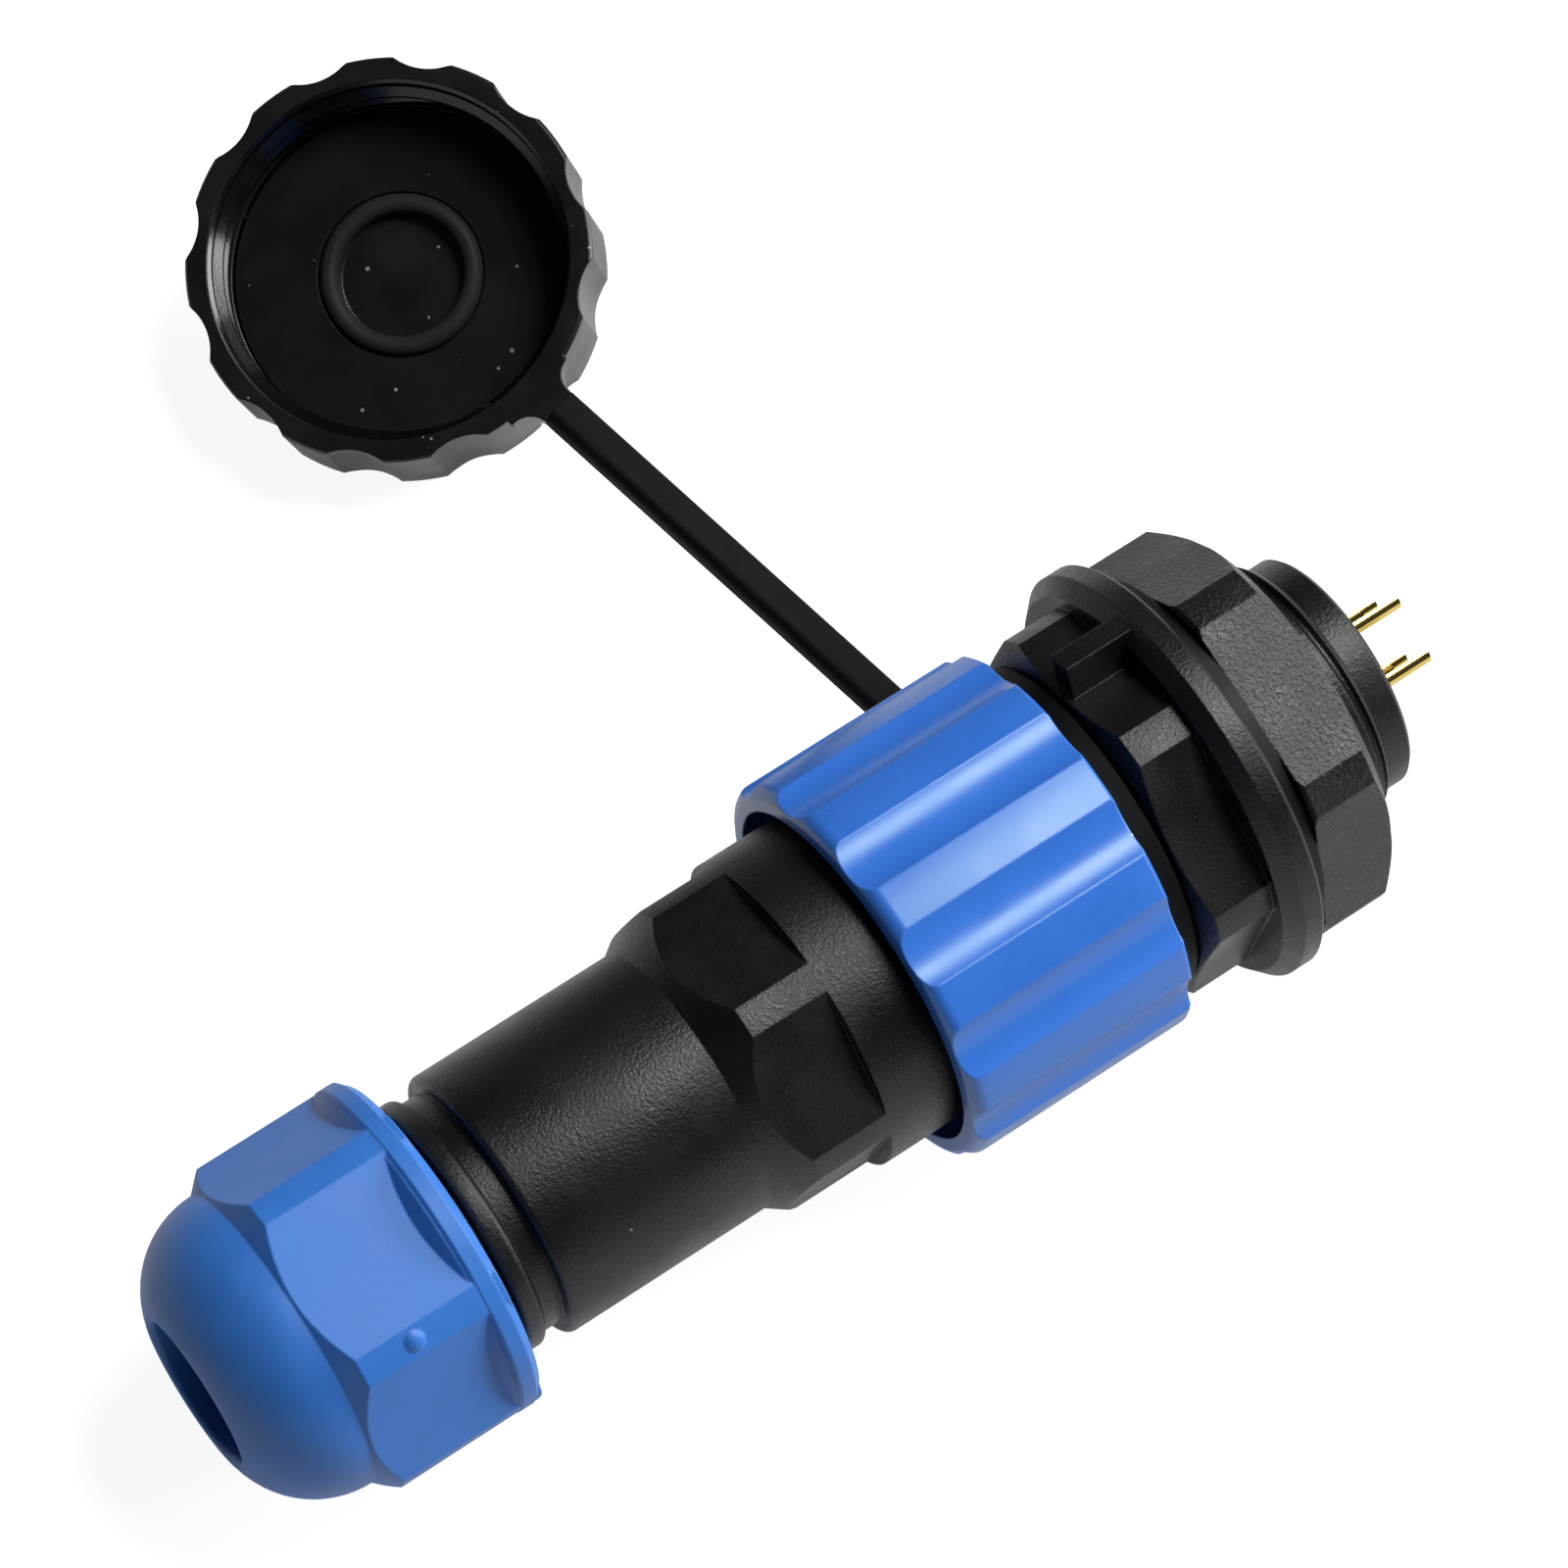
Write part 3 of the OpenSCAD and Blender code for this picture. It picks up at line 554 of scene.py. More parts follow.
FINISHES: dict[Finish, Moulding | Plating] = {
    Finish.BLACK: Moulding(
        slot=Slot.BLACK, base=(0.0066, 0.0066, 0.0068), deep=(0.005, 0.005, 0.0052),
        fleck=(0.016, 0.016, 0.017), fleck_share=0.35, rub=(0.03, 0.03, 0.031), rub_share=0.3,
        dust=(0.2, 0.2, 0.2), roughness=0.39, roughness_drift=0.05, specular=0.5,
        grain_size=0.26 * MM, grain_depth=0.05 * MM, edge_radius=0.18 * MM, dust_share=0.04,
        glint=0.16
    ),
    Finish.BLACK_COARSE: Moulding(
        slot=Slot.BLACK, base=(0.0066, 0.0066, 0.0068), deep=(0.005, 0.005, 0.0052),
        fleck=(0.03, 0.03, 0.031), fleck_share=0.5, rub=(0.03, 0.03, 0.031), rub_share=0.3,
        dust=(0.2, 0.2, 0.2), roughness=0.38, roughness_drift=0.05, specular=0.62,
        grain_size=0.34 * MM, grain_depth=0.1 * MM, edge_radius=0.2 * MM, dust_share=0.04,
        glint=0.16
    ),
    Finish.BLUE: Moulding(
        slot=Slot.BLUE, base=(0.048, 0.235, 0.78), deep=(0.042, 0.212, 0.72),
        fleck=(0.065, 0.235, 0.76), fleck_share=0.3, rub=(0.1, 0.3, 0.8), rub_share=0.5,
        dust=(0.45, 0.55, 0.75), roughness=0.46, roughness_drift=0.04, specular=0.5,
        grain_size=0.2 * MM, grain_depth=0.006 * MM, edge_radius=0.25 * MM, dust_share=0.03
    ),
    Finish.BLUE_SATIN: Moulding(
        slot=Slot.BLUE, base=(0.046, 0.215, 0.83), deep=(0.042, 0.2, 0.79),
        fleck=(0.07, 0.26, 0.82), fleck_share=0.4, rub=(0.12, 0.36, 0.86), rub_share=0.5,
        dust=(0.6, 0.7, 0.85), roughness=0.3, roughness_drift=0.03, specular=0.8,
        grain_size=0.2 * MM, grain_depth=0.005 * MM, edge_radius=0.25 * MM, dust_share=0.05,
        sheen=(0.85, 1.0, 0.75)
    ),
    Finish.INSULATOR: Moulding(
        slot=Slot.INSULATOR, base=(0.01, 0.01, 0.011), deep=(0.008, 0.008, 0.0085),
        fleck=(0.03, 0.03, 0.032), fleck_share=0.2, rub=(0.04, 0.04, 0.04), rub_share=0.3,
        dust=(0.2, 0.2, 0.2), roughness=0.4, roughness_drift=0.05, specular=0.5,
        grain_size=0.2 * MM, grain_depth=0.006 * MM, edge_radius=0.1 * MM, dust_share=0.03
    ),
    Finish.SEAL: Moulding(
        slot=Slot.SEAL, base=(0.0055, 0.0055, 0.0055), deep=(0.004, 0.004, 0.004),
        fleck=(0.012, 0.012, 0.012), fleck_share=0.3, rub=(0.015, 0.015, 0.015), rub_share=0.3,
        dust=(0.15, 0.15, 0.15), roughness=0.6, roughness_drift=0.06, specular=0.4,
        grain_size=0.15 * MM, grain_depth=0.012 * MM, edge_radius=0.15 * MM, dust_share=0.04
    ),
    Finish.SEAL_DARK: Moulding(
        slot=Slot.SEAL, base=(0.0042, 0.0042, 0.0042), deep=(0.0036, 0.0036, 0.0036),
        fleck=(0.006, 0.006, 0.006), fleck_share=0.3, rub=(0.008, 0.008, 0.008), rub_share=0.3,
        dust=(0.3, 0.3, 0.3), roughness=0.42, roughness_drift=0.04, specular=0.3,
        grain_size=0.2 * MM, grain_depth=0.008 * MM, edge_radius=0.15 * MM, dust_share=0.6
    ),
    # Darker and less glossy than the cap: on the loop this is painted shade for the gap between the
    # ring and the collar; the strap is matt
    Finish.CAP_MATT_AND_SHADE: Moulding(
        slot=Slot.CAP, base=(0.0038, 0.0038, 0.004), deep=(0.003, 0.003, 0.0032),
        fleck=(0.01, 0.01, 0.0105), fleck_share=0.3, rub=(0.014, 0.014, 0.014), rub_share=0.3,
        dust=(0.25, 0.25, 0.25), roughness=0.6, roughness_drift=0.05, specular=0.13,
        grain_size=0.25 * MM, grain_depth=0.012 * MM, edge_radius=0.2 * MM, dust_share=0.05
    ),
    # Lighter grey for the rib on the cap's floor: a painted highlight for the light that the rib
    # catches
    Finish.CAP_RIB_HIGHLIGHT: Moulding(
        slot=Slot.CAP, base=(0.029, 0.029, 0.0293), deep=(0.024, 0.024, 0.0243),
        fleck=(0.037, 0.037, 0.037), fleck_share=0.35, rub=(0.05, 0.05, 0.05), rub_share=0.3,
        dust=(0.3, 0.3, 0.3), roughness=0.55, roughness_drift=0.05, specular=0.12,
        grain_size=0.25 * MM, grain_depth=0.01 * MM, edge_radius=0.2 * MM, dust_share=0.1
    ),
    Finish.CAP_POLISHED: Moulding(
        slot=Slot.CAP, base=(0.004, 0.004, 0.0042), deep=(0.003, 0.003, 0.0032),
        fleck=(0.01, 0.01, 0.0105), fleck_share=0.2, rub=(0.02, 0.02, 0.02), rub_share=0.3,
        dust=(0.3, 0.3, 0.3), roughness=0.15, roughness_drift=0.02, specular=0.5,
        grain_size=0.25 * MM, grain_depth=0.006 * MM, edge_radius=0.15 * MM, dust_share=0.08
    ),
    Finish.CAP: Moulding(
        slot=Slot.CAP, base=(0.0068, 0.0068, 0.007), deep=(0.0055, 0.0055, 0.0057),
        fleck=(0.012, 0.012, 0.0125), fleck_share=0.2, rub=(0.02, 0.02, 0.02), rub_share=0.3,
        dust=(0.3, 0.3, 0.3), roughness=0.3, roughness_drift=0.04, specular=0.5,
        grain_size=0.25 * MM, grain_depth=0.008 * MM, edge_radius=0.22 * MM, dust_share=0.35
    ),
    Finish.PLATING: Plating(
        slot=Slot.PLATING, base=(0.92, 0.7, 0.2), deep=(0.84, 0.6, 0.15), roughness=0.16,
        grain_size=0.12 * MM, grain_depth=0.0008 * MM
    ),
}


@dataclass
class Thread:
    """Helical groove or ridge on a round face.

    Attributes:
        name: Name of the helical bar.
        face: Radius of the face.
        depth: Depth of the groove or height of the ridge.
        pitch: Travel of one turn.
        start: Station where the bar starts.
        end: Station where the bar ends.
        side: Whether the relief goes toward the axis or away from it.
        relief: Whether the bar is cut out or added.
        place: Frame whose X axis is the thread's axis.
        runout: Turns over which the bar leaves the face at each end.
        face_share: Width of the bar at the face, in pitches.
        tip_share: Width of the bar at its tip, in pitches.
        steps_a_turn: Sections of the bar in one turn.
        margin: Reach of the bar past the face.
        phase: Turn of the whole bar, radians, which keeps its corners off the seam of the face.
        least_sections: Fewest sections of a bar.
        least_half: Least half width of the bar.
    """

    name: str
    face: float
    depth: float
    pitch: float
    start: float
    end: float
    side: Side = Side.INWARD
    relief: Relief = Relief.GROOVE
    place: Matrix = field(default_factory=lambda: Matrix.Identity(4))
    runout: float = 0.4
    face_share: float = 0.62
    tip_share: float = 0.16
    steps_a_turn: int = 72
    margin: float = 0.1 * MM
    phase: float = 0.021
    least_sections: int = 8
    least_half: float = 0.02 * MM

    def bar(self) -> bpy.types.Object:
        """Builds the helical bar.

        Returns:
            The bar, to be cut out of a mesh or added to it.
        """
        turns = (self.end - self.start) / self.pitch
        count = max(self.least_sections, round(turns * self.steps_a_turn))
        slope = (self.face_share - self.tip_share) * self.pitch / self.depth
        made = bmesh.new()
        rings = []
        for step in range(count + 1):
            turn = turns * step / count
            fade = min(1.0, turn / self.runout, (turns - turn) / self.runout)
            sunk = self.depth * fade - self.margin * (1.0 - fade)
            angle = self.phase + 2 * math.pi * turn
            ring = []
            for below, along in ((-self.margin, -1), (-self.margin, 1), (sunk, 1), (sunk, -1)):
                half = max(self.least_half, (self.face_share * self.pitch - slope * below) / 2)
                radius = self.face + self.side.value * below
                station = self.start + self.pitch * turn + along * half
                place = Vector((station, radius * math.cos(angle), radius * math.sin(angle)))
                ring.append(made.verts.new(self.place @ place))
            rings.append(ring)
        for one, two in zip(rings, rings[1:]):
            for index in range(len(one)):
                after = (index + 1) % len(one)
                made.faces.new((one[index], one[after], two[after], two[index]))
        made.faces.new(reversed(rings[0]))
        made.faces.new(rings[-1])
        bmesh.ops.recalc_face_normals(made, faces=made.faces)
        mesh = bpy.data.meshes.new(self.name)
        made.to_mesh(mesh)
        made.free()
        bar = bpy.data.objects.new(self.name, mesh)
        bpy.context.scene.collection.objects.link(bar)
        return bar


class Refined:
    """A node's mesh, welded and carved, that stands for the node."""

    SHARP_ANGLE = math.radians(20)
    WELD = 1e-7

    def __init__(self, node: str) -> None:
        """Copies the node's mesh.

        Args:
            node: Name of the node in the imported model.
        """
        self.node = node
        self.body = frame["nodes"][node]["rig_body"]
        mesh = frame["nodes"][node].data.copy()
        work = bmesh.new()
        work.from_mesh(mesh)
        bmesh.ops.remove_doubles(work, verts=work.verts, dist=self.WELD)
        work.to_mesh(mesh)
        work.free()
        self.piece = bpy.data.objects.new(f"{node}_carved", mesh)
        bpy.context.scene.collection.objects.link(self.piece)

    def carve(self, *threads: Thread) -> "Refined":
        """Cuts thread grooves and adds thread ridges.

        Args:
            *threads: Grooves and ridges.

        Returns:
            This piece.
        """
        bars = [thread.bar() for thread in threads]
        for thread, bar in zip(threads, bars):
            step = self.piece.modifiers.new(thread.name, "BOOLEAN")
            step.operation = thread.relief.value
            step.solver = "EXACT"
            step.object = bar
        view = bpy.context.evaluated_depsgraph_get()
        carved = bpy.data.meshes.new_from_object(self.piece.evaluated_get(view))
        self.piece.modifiers.clear()
        self.piece.data = carved
        for bar in bars:
            bpy.data.objects.remove(bar)
        return self

    def finish(self, slot: Slot, material: bpy.types.Material) -> bpy.types.Object:
        """Shades the piece, gives it its finish and puts it in the node's place.

        Args:
            slot: Slot of the record; not used.
            material: Finish of the piece.

        Returns:
            The finished piece.
        """
        mesh = self.piece.data
        work = bmesh.new()
        work.from_mesh(mesh)
        for face in work.faces:
            face.smooth = True
        for edge in work.edges:
            edge.smooth = edge.is_manifold and edge.calc_face_angle(0.0) < self.SHARP_ANGLE
        work.to_mesh(mesh)
        work.free()
        mesh.materials.clear()
        mesh.materials.append(material)
        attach(self.piece, self.body)
        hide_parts(self.node)
        return self.piece


class Workshop:
    """Holds the finished materials and dresses nodes with them."""

    def __init__(self) -> None:
        """Builds the shared effects and every finish."""
        groups = EffectGroups()
        self.materials = {
            kind: finish.material(kind.value, groups) for kind, finish in FINISHES.items()
        }

    def dress(self, kind: Finish, *nodes: str) -> None:
        """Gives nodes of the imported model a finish.

        Args:
            kind: Finish to give.
            *nodes: Names of the nodes.
        """
        for name in nodes:
            mesh = frame["nodes"][name].data
            mesh.materials.clear()
            mesh.materials.append(self.materials[kind])
            LOG.info("%s dressed as %s", name, kind.value)

    def refine(self, node: str, kind: Finish, *threads: Thread) -> bpy.types.Object:
        """Replaces a node by its carved mesh.

        Args:
            node: Name of the node.
            kind: Finish to give.
            *threads: Grooves and ridges of the piece.

        Returns:
            The finished piece.
        """
        piece = Refined(node).carve(*threads).finish(FINISHES[kind].slot, self.materials[kind])
        LOG.info("%s stands for %s", piece.name, node)
        return piece


@dataclass
class PanelSocket:
    """Panel socket, its insert, pins, gasket and nut.

    Attributes:
        contact_count: Number of pins.
        pilot_length: Length of the plain pilot behind the shank.
        shank_radius: Crest radius of the shank's thread.
        shank_pitch: Pitch of the shank's thread.
        shank_depth: Depth of the shank's thread and of the nut's.
        shank_start: Station of the first groove of the shank.
        shank_overrun: Reach of the groove past the shank, in pitches.
        front_radius: Crest radius of the front thread.
        front_length: Length of the front thread.
        front_pitch: Pitch of the front thread.
        front_depth: Depth of the front thread.
        front_overrun: Reach of the groove past the front end, in pitches.
        front_relief: Plain length kept behind the front thread, in pitches.
        nut_clearance: Gap between the shank and the bore of the nut.
        nut_overrun: Reach of the groove past each face of the nut, in pitches.
    """

    contact_count: int = 4
    pilot_length: float = 2.5 * MM
    shank_radius: float = 10.25 * MM
    shank_pitch: float = 1.5 * MM
    shank_depth: float = 0.55 * MM
    shank_start: float = 0.4 * MM
    shank_overrun: float = 0.3
    front_radius: float = 12.8 * MM
    front_length: float = 8.6 * MM
    front_pitch: float = 2.0 * MM
    front_depth: float = 0.7 * MM
    front_overrun: float = 0.2
    front_relief: float = 0.5
    nut_clearance: float = 0.1 * MM
    nut_overrun: float = 0.5

    def build(self, shop: Workshop) -> None:
        """Carves the threads and dresses the nodes.

        Args:
            shop: Finishes to use.
        """
        low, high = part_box("socket_shell")
        shank_end = high.x - self.pilot_length
        shank = Thread(
            "shank_groove", self.shank_radius, self.shank_depth, self.shank_pitch,
            start=self.shank_start, end=shank_end + self.shank_overrun * self.shank_pitch)
        front = Thread(
            "front_groove", self.front_radius, self.front_depth, self.front_pitch,
            start=low.x - self.front_overrun * self.front_pitch,
            end=low.x + self.front_length - self.front_relief * self.front_pitch)
        shop.refine("socket_shell", Finish.BLACK, shank, front)
        nut_low, nut_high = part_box("panel_nut")
        reach = self.nut_overrun * self.shank_pitch
        nut = Thread(
            "nut_groove", self.shank_radius + self.nut_clearance, self.shank_depth,
            self.shank_pitch, start=nut_low.x - reach, end=nut_high.x + reach, side=Side.OUTWARD)
        shop.refine("panel_nut", Finish.BLACK_COARSE, nut)
        shop.dress(Finish.BLACK, "insert_retainer")
        shop.dress(Finish.INSULATOR, "socket_insert")
        shop.dress(Finish.SEAL, "panel_gasket", "insert_seal")
        shop.dress(Finish.PLATING, *(f"socket_pin_{i + 1}" for i in range(self.contact_count)))


@dataclass
class CablePlug:
    """Plug shell, its insert and contacts, and the coupling ring.

    Attributes:
        contact_count: Number of contacts.
        gland_thread_radius: Crest radius of the gland's thread.
        gland_thread_length: Length of the gland's thread up to its relief.
        gland_pitch: Pitch of the gland's thread.
        gland_depth: Depth of the gland's thread.
        gland_lead_in: Distance of the first groove behind the shell.
        gland_runout: Turns over which the gland's groove leaves the face at each end.
        gland_face_share: Width of the gland's groove at the face, in pitches.
        gland_tip_share: Width of the gland's groove at its tip, in pitches.
        ring_radius: Crest radius inside the coupling ring.
        ring_thread_length: Length of the ring's thread.
        ring_pitch: Pitch of the ring's thread.
        ring_depth: Depth of the ring's thread.
        ring_overrun: Reach of the groove past the ring's end, in pitches.
    """

    contact_count: int = 4
    gland_thread_radius: float = 9.9 * MM
    gland_thread_length: float = 4.5 * MM
    gland_pitch: float = 2.0 * MM
    gland_depth: float = 0.65 * MM
    gland_lead_in: float = 0.14 * MM
    gland_runout: float = 0.1
    gland_face_share: float = 0.5
    gland_tip_share: float = 0.2
    ring_radius: float = 12.9 * MM
    ring_thread_length: float = 11.0 * MM
    ring_pitch: float = 2.0 * MM
    ring_depth: float = 0.5 * MM
    ring_overrun: float = 0.3

    def build(self, shop: Workshop) -> None:
        """Carves the threads and dresses the nodes.

        Args:
            shop: Finishes to use.
        """
        low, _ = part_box("plug_shell")
        gland = Thread(
            "gland_groove", self.gland_thread_radius, self.gland_depth, self.gland_pitch,
            start=low.x - self.gland_lead_in, end=low.x + self.gland_thread_length,
            runout=self.gland_runout, face_share=self.gland_face_share,
            tip_share=self.gland_tip_share)
        shop.refine("plug_shell", Finish.BLACK, gland)
        _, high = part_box("coupling_ring")
        ring = Thread(
            "ring_groove", self.ring_radius, self.ring_depth, self.ring_pitch,
            start=high.x - self.ring_thread_length,
            end=high.x + self.ring_overrun * self.ring_pitch, side=Side.OUTWARD)
        shop.refine("coupling_ring", Finish.BLUE_SATIN, ring)
        shop.dress(Finish.INSULATOR, "plug_insert")
        shop.dress(Finish.SEAL, "hub_o_ring", "interface_seal")
        shop.dress(Finish.PLATING, *(f"plug_contact_{i + 1}" for i in range(self.contact_count)))


@dataclass
class CableGland:
    """Gland nut, clamp basket and cable seal.

    Attributes:
        nut_finish: Finish of the gland nut.
        claw_finish: Finish of the clamp basket.
        seal_finish: Finish of the cable seal.
    """

    nut_finish: Finish = Finish.BLUE
    claw_finish: Finish = Finish.INSULATOR
    seal_finish: Finish = Finish.SEAL

    def build(self, shop: Workshop) -> None:
        """Dresses the nodes of the gland.

        Args:
            shop: Finishes to use.
        """
        shop.refine("gland_nut", self.nut_finish)
        shop.dress(self.claw_finish, "gland_claw")
        shop.dress(self.seal_finish, "gland_seal")


@dataclass
class DustCap:
    """Dust cap, its strap and the loop round the socket's neck.

    Attributes:
        mouth: Centre of the mouth of the cap.
        lean: Lean of the cap away from upright, degrees.
        heading: Compass heading of that lean, degrees.
        bore: Radius inside the cap.
        rib_span: Inner and outer radius of the rib on the floor.
        rib_foot: Station of the floor that the rib stands on, from the mouth.
        wall_span: Inner and outer radius of the threaded wall.
        thread_start: Station of the deepest turn of the thread, from the mouth.
        thread_end: Station of the turn of the thread next to the mouth.
        thread_height: Height of the thread's ridge.
        pitch: Pitch of the thread in the wall.
        thread_turn: Turn of the whole thread, degrees.
        thread_runout: Turns over which the ridge leaves the wall at each end.
        ridge_foot_share: Width of the ridge at the wall, in pitches.
        ridge_tip_share: Width of the ridge at its tip, in pitches.
        inward_lean: Least share of a face's normal toward the axis in the threaded wall.
    """

    mouth: tuple[float, float, float] = (-23.7 * MM, 67.7 * MM, -2.5 * MM)
    lean: float = 20.7
    heading: float = 217.6
    bore: float = 13.15 * MM
    rib_span: Span = (4.6 * MM, 6.2 * MM)
    rib_foot: float = -6.95 * MM
    wall_span: Span = (12.4 * MM, 14.2 * MM)
    thread_start: float = -4.29 * MM
    thread_end: float = -0.85 * MM
    thread_height: float = 0.64 * MM
    pitch: float = 2.0 * MM
    thread_turn: float = 62.0
    thread_runout: float = 0.12
    ridge_foot_share: float = 0.8
    ridge_tip_share: float = 0.2
    inward_lean: float = 0.1

    def _place(self) -> Matrix:
        """Frame whose X axis leaves the mouth of the cap.

        Returns:
            The frame's matrix.
        """
        heading = Matrix.Rotation(math.radians(self.heading), 4, "Z")
        turn = heading @ Matrix.Rotation(math.radians(self.lean), 4, "Y")
        return Matrix.Translation(self.mouth) @ turn @ Matrix.Rotation(math.radians(-90), 4, "Y")

    def _vary(self, cap: bpy.types.Object, rib_highlight: bpy.types.Material,
              polished: bpy.types.Material) -> None:
        """Gives the rib on the floor a lighter finish, a painted highlight, and the threaded wall
        its polished one.

        Args:
            cap: Finished cap.
            rib_highlight: Finish of the rib, painted lighter as a highlight.
            polished: Finish of the wall.
        """
        finishes = cap.data.materials
        highlight_index, polished_index = len(finishes), len(finishes) + 1
        finishes.append(rib_highlight)
        finishes.append(polished)
        back = self._place().inverted()
        spin = back.to_3x3()
        for face in cap.data.polygons:
            place, facing = back @ face.center, spin @ face.normal
            radius = math.hypot(place.y, place.z)
            inward = facing.y * place.y + facing.z * place.z < -self.inward_lean * radius
            if self.rib_span[0] < radius < self.rib_span[1] and place.x > self.rib_foot:
                face.material_index = highlight_index
            elif self.wall_span[0] < radius < self.wall_span[1] and inward:
                face.material_index = polished_index

    def build(self, shop: Workshop) -> None:
        """Adds the thread in the wall and dresses the nodes.

        Args:
            shop: Finishes to use.
        """
        wall = Thread(
            "cap_ridge", self.bore, self.thread_height, self.pitch,
            start=self.thread_start, end=self.thread_end, relief=Relief.RIDGE,
            place=self._place(), runout=self.thread_runout, face_share=self.ridge_foot_share,
            tip_share=self.ridge_tip_share, phase=math.radians(self.thread_turn))
        cap = shop.refine("dust_cap", Finish.CAP, wall)
        # The rib is painted lighter as a highlight; the threaded wall is glossier
        self._vary(cap, shop.materials[Finish.CAP_RIB_HIGHLIGHT], shop.materials[Finish.CAP_POLISHED])
        # The loop takes painted shade, a darker matt finish; the strap takes the same finish
        shop.dress(Finish.CAP_MATT_AND_SHADE, "cap_strap", "cap_loop")
        shop.dress(Finish.SEAL_DARK, "cap_gasket")


@dataclass(frozen=True)
class Softbox:
    """Flat area lamp that faces the part.

    Attributes:
        name: Name of the lamp.
        toward: Direction from the part to the lamp.
        distance: Distance from the part.
        width: Level size of the lamp.
        height: Upright size of the lamp.
        radiance: Brightness of the lamp's face, white paper being 1.
    """

    name: str
    toward: tuple[float, float, float]
    distance: float
    width: float
    height: float
    radiance: float

    def build(self, target: Vector) -> None:
        """Places the lamp.

        Args:
            target: Point that the lamp faces.
        """
        lamp = bpy.data.lights.new(self.name, "AREA")
        lamp.shape = "RECTANGLE"
        lamp.size, lamp.size_y = self.width, self.height
        lamp.energy = self.radiance * math.pi * self.width * self.height
        lit = bpy.data.objects.new(self.name, lamp)
        back = Vector(self.toward).normalized()
        lit.location = target + back * self.distance
        lit.rotation_mode = "QUATERNION"
        lit.rotation_quaternion = back.to_track_quat("Z", "Y")
        bpy.context.scene.collection.objects.link(lit)


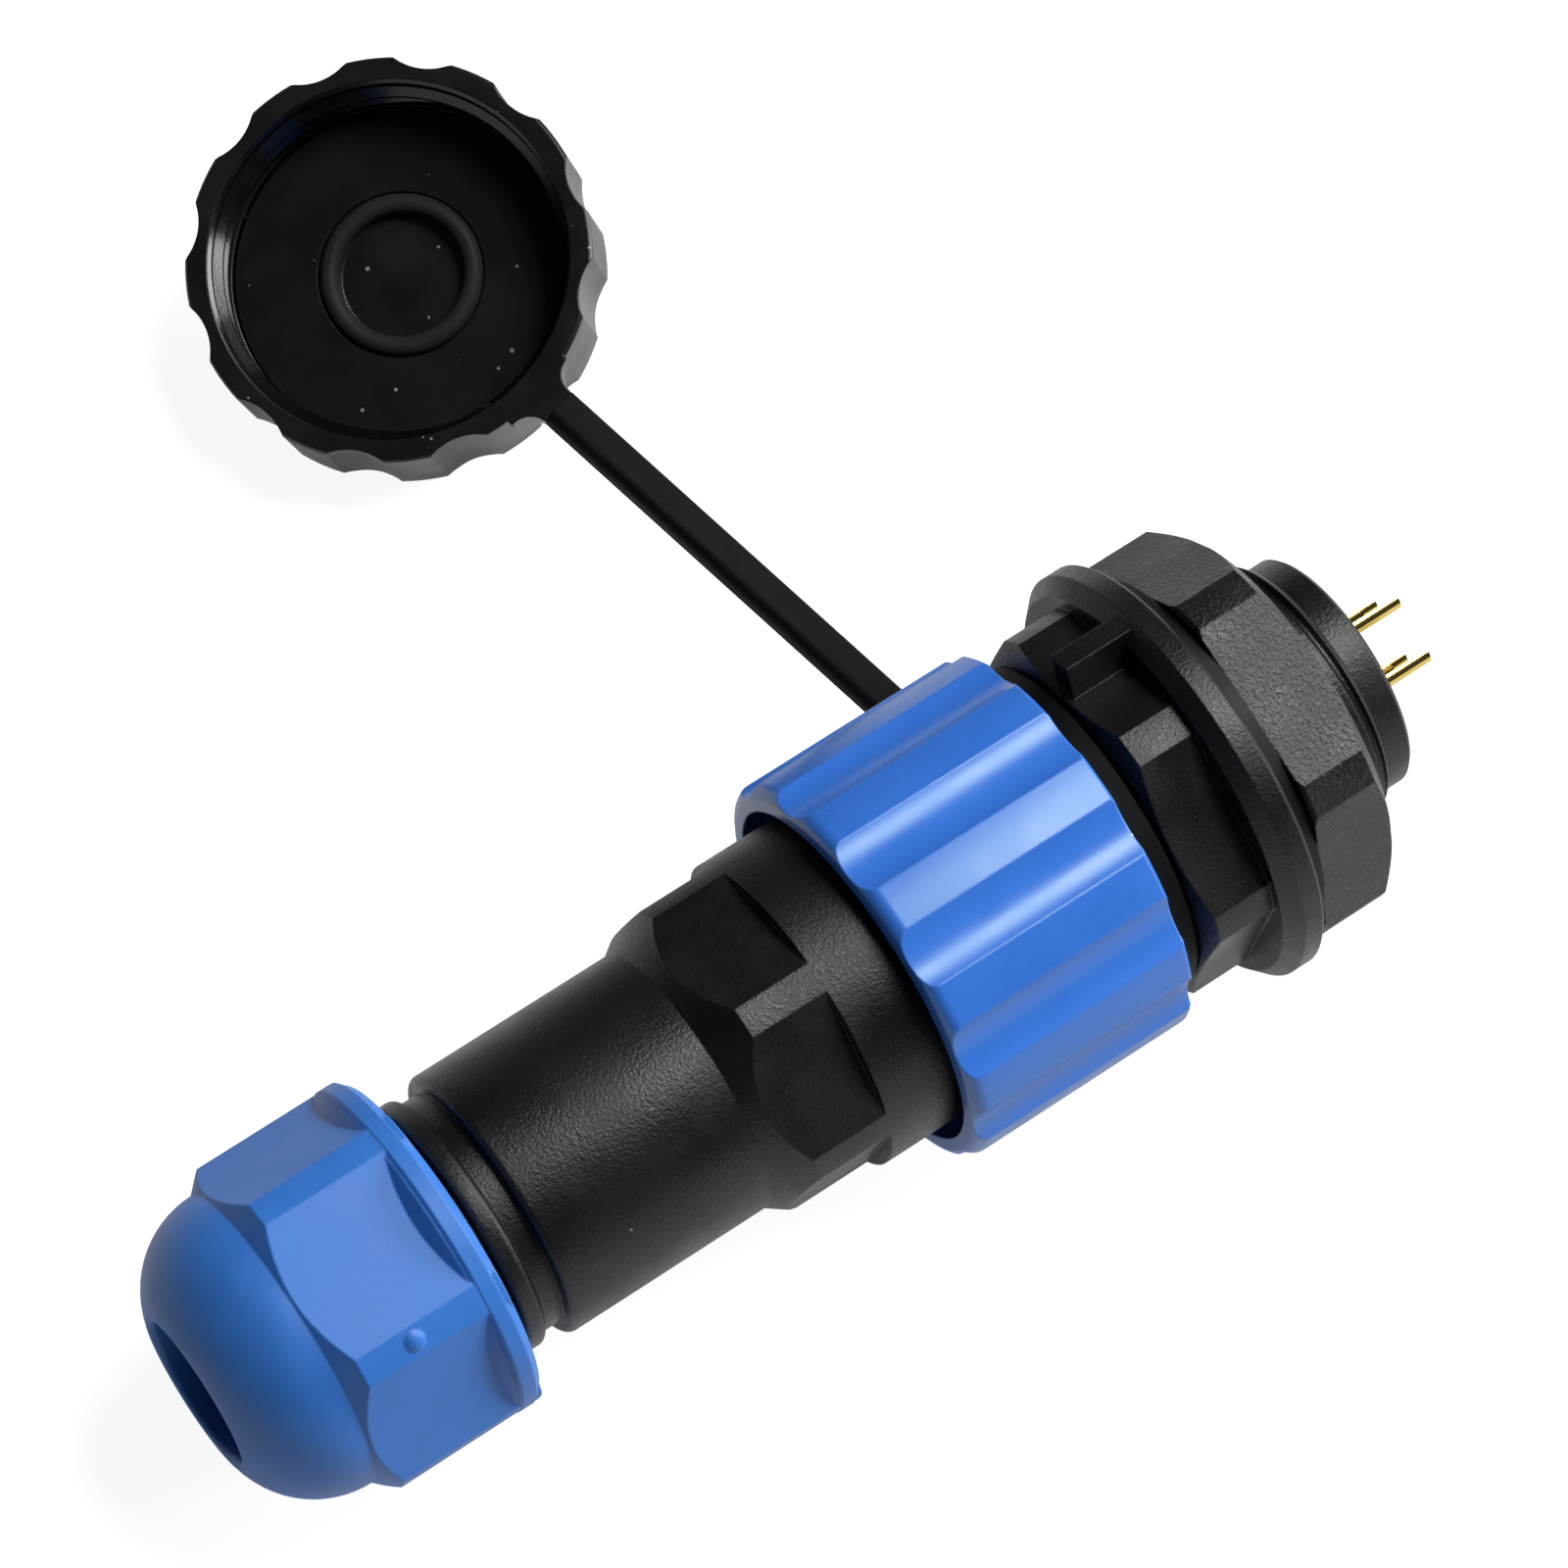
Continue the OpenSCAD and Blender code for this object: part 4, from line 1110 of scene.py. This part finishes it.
@dataclass
class Studio:
    """Floor, lamps, surrounding light and camera.

    Attributes:
        floor_side: Side of the square floor.
        floor_gap: Gap between the floor and the lowest point of the part.
        floor_tone: Grey of the floor.
        camera_lift: Light of the floor's own toward the camera.
        glossy_lift: Light of the floor's own in mirrored views.
        world_level: Brightness of the surrounding light.
        camera_place: Place of the camera.
        camera_azimuth: Turn of the camera round the part, degrees.
        camera_elevation: Rise of the camera over the level, degrees.
        sensor: Width of the camera's sensor, millimetres.
        focal_pixels: Focal length in pixels of the photograph.
        image_side: Side of the photograph, pixels.
        clip_span: Nearest and farthest distance that the camera sees.
        softboxes: Lamps.
    """

    floor_side: float = 6.0
    floor_gap: float = 0.02 * MM
    floor_tone: float = 0.58
    camera_lift: float = 0.9
    glossy_lift: float = 0.28
    world_level: float = 0.04
    camera_place: tuple[float, float, float] = (-148.8 * MM, -161.5 * MM, 428.9 * MM)
    camera_azimuth: float = -35.0
    camera_elevation: float = 63.35
    sensor: float = 36.0
    focal_pixels: float = 7000.0
    image_side: float = 1600.0
    clip_span: Span = (0.01, 20.0)
    softboxes: tuple[Softbox, ...] = (
        Softbox("overhead_softbox", toward=(0.43, -0.14, 0.89), distance=1.0,
                width=0.46, height=0.46, radiance=10.8),
        Softbox("rear_softbox", toward=(0.76, 0.02, 0.65), distance=1.0,
                width=0.5, height=0.5, radiance=2.0),
        Softbox("side_softbox", toward=(0.891, -0.344, 0.295), distance=1.0,
                width=0.54, height=0.25, radiance=11.5),
    )

    def build(self) -> None:
        """Builds the whole studio."""
        target = (CAD_BOX[0] + CAD_BOX[1]) / 2
        for softbox in self.softboxes:
            softbox.build(target)
        self._floor()
        self._world()
        self._camera()
        bpy.context.scene.view_settings.view_transform = "Standard"

    def _floor(self) -> None:
        """Lays a pale floor under the part, which keeps its shadow."""
        work = bmesh.new()
        bmesh.ops.create_grid(work, x_segments=1, y_segments=1, size=self.floor_side / 2)
        mesh = bpy.data.meshes.new("floor")
        work.to_mesh(mesh)
        work.free()
        floor = bpy.data.objects.new("floor", mesh)
        floor.location = (0.0, 0.0, CAD_BOX[0].z - self.floor_gap)
        bpy.context.scene.collection.objects.link(floor)
        made, graph, shader = start_material("floor_paper")
        shader.inputs["Base Color"].default_value = (*(self.floor_tone,) * 3, 1.0)
        shader.inputs["Roughness"].default_value = 1.0
        shader.inputs["Specular IOR Level"].default_value = 0.0
        shader.inputs["Emission Color"].default_value = WHITE
        path = graph.add("ShaderNodeLightPath", "kind of ray")
        seen, mirrored = path.outputs["Is Camera Ray"], path.outputs["Is Glossy Ray"]
        direct = graph.math("MULTIPLY", "lift to the camera", seen, self.camera_lift)
        glossy = graph.math("MULTIPLY", "lift in mirrors", mirrored, self.glossy_lift)
        lift = graph.math("ADD", "lift to white", direct, glossy)
        graph.link(lift, shader.inputs["Emission Strength"])
        mesh.materials.append(made)

    def _world(self) -> None:
        """Sets an even surrounding light, seen as white by the camera."""
        world = bpy.data.worlds.new("studio")
        world.use_nodes = True
        graph = ShaderGraph(world.node_tree)
        back = world.node_tree.nodes["Background"]
        back.inputs["Color"].default_value = WHITE
        path = graph.add("ShaderNodeLightPath", "kind of ray")
        seen = path.outputs["Is Camera Ray"]
        level = graph.remap(seen, "white to the camera", UNIT, (self.world_level, 1.0))
        graph.link(level, back.inputs["Strength"])
        bpy.context.scene.world = world

    def _camera(self) -> None:
        """Sets the camera at the photograph's viewing angle."""
        lens = bpy.data.cameras.new("camera")
        lens.sensor_width = self.sensor
        lens.lens = self.focal_pixels / self.image_side * self.sensor
        lens.clip_start, lens.clip_end = self.clip_span
        camera = bpy.data.objects.new("camera", lens)
        turn, rise = math.radians(self.camera_azimuth), math.radians(self.camera_elevation)
        level = math.cos(rise)
        back = Vector((math.sin(turn) * level, -math.cos(turn) * level, math.sin(rise)))
        camera.location = self.camera_place
        camera.rotation_mode = "QUATERNION"
        camera.rotation_quaternion = (-back).to_track_quat("-Z", "Y")
        bpy.context.scene.collection.objects.link(camera)
        bpy.context.scene.camera = camera


def main() -> None:
    """Builds the studio and every sub-assembly in order."""
    logging.basicConfig(level=logging.INFO, format="%(message)s")
    Studio().build()
    shop = Workshop()
    for assembly in (PanelSocket(), CablePlug(), CableGland(), DustCap()):
        assembly.build(shop)
        LOG.info("%s built", type(assembly).__name__)


if __name__ == "__main__":
    main()
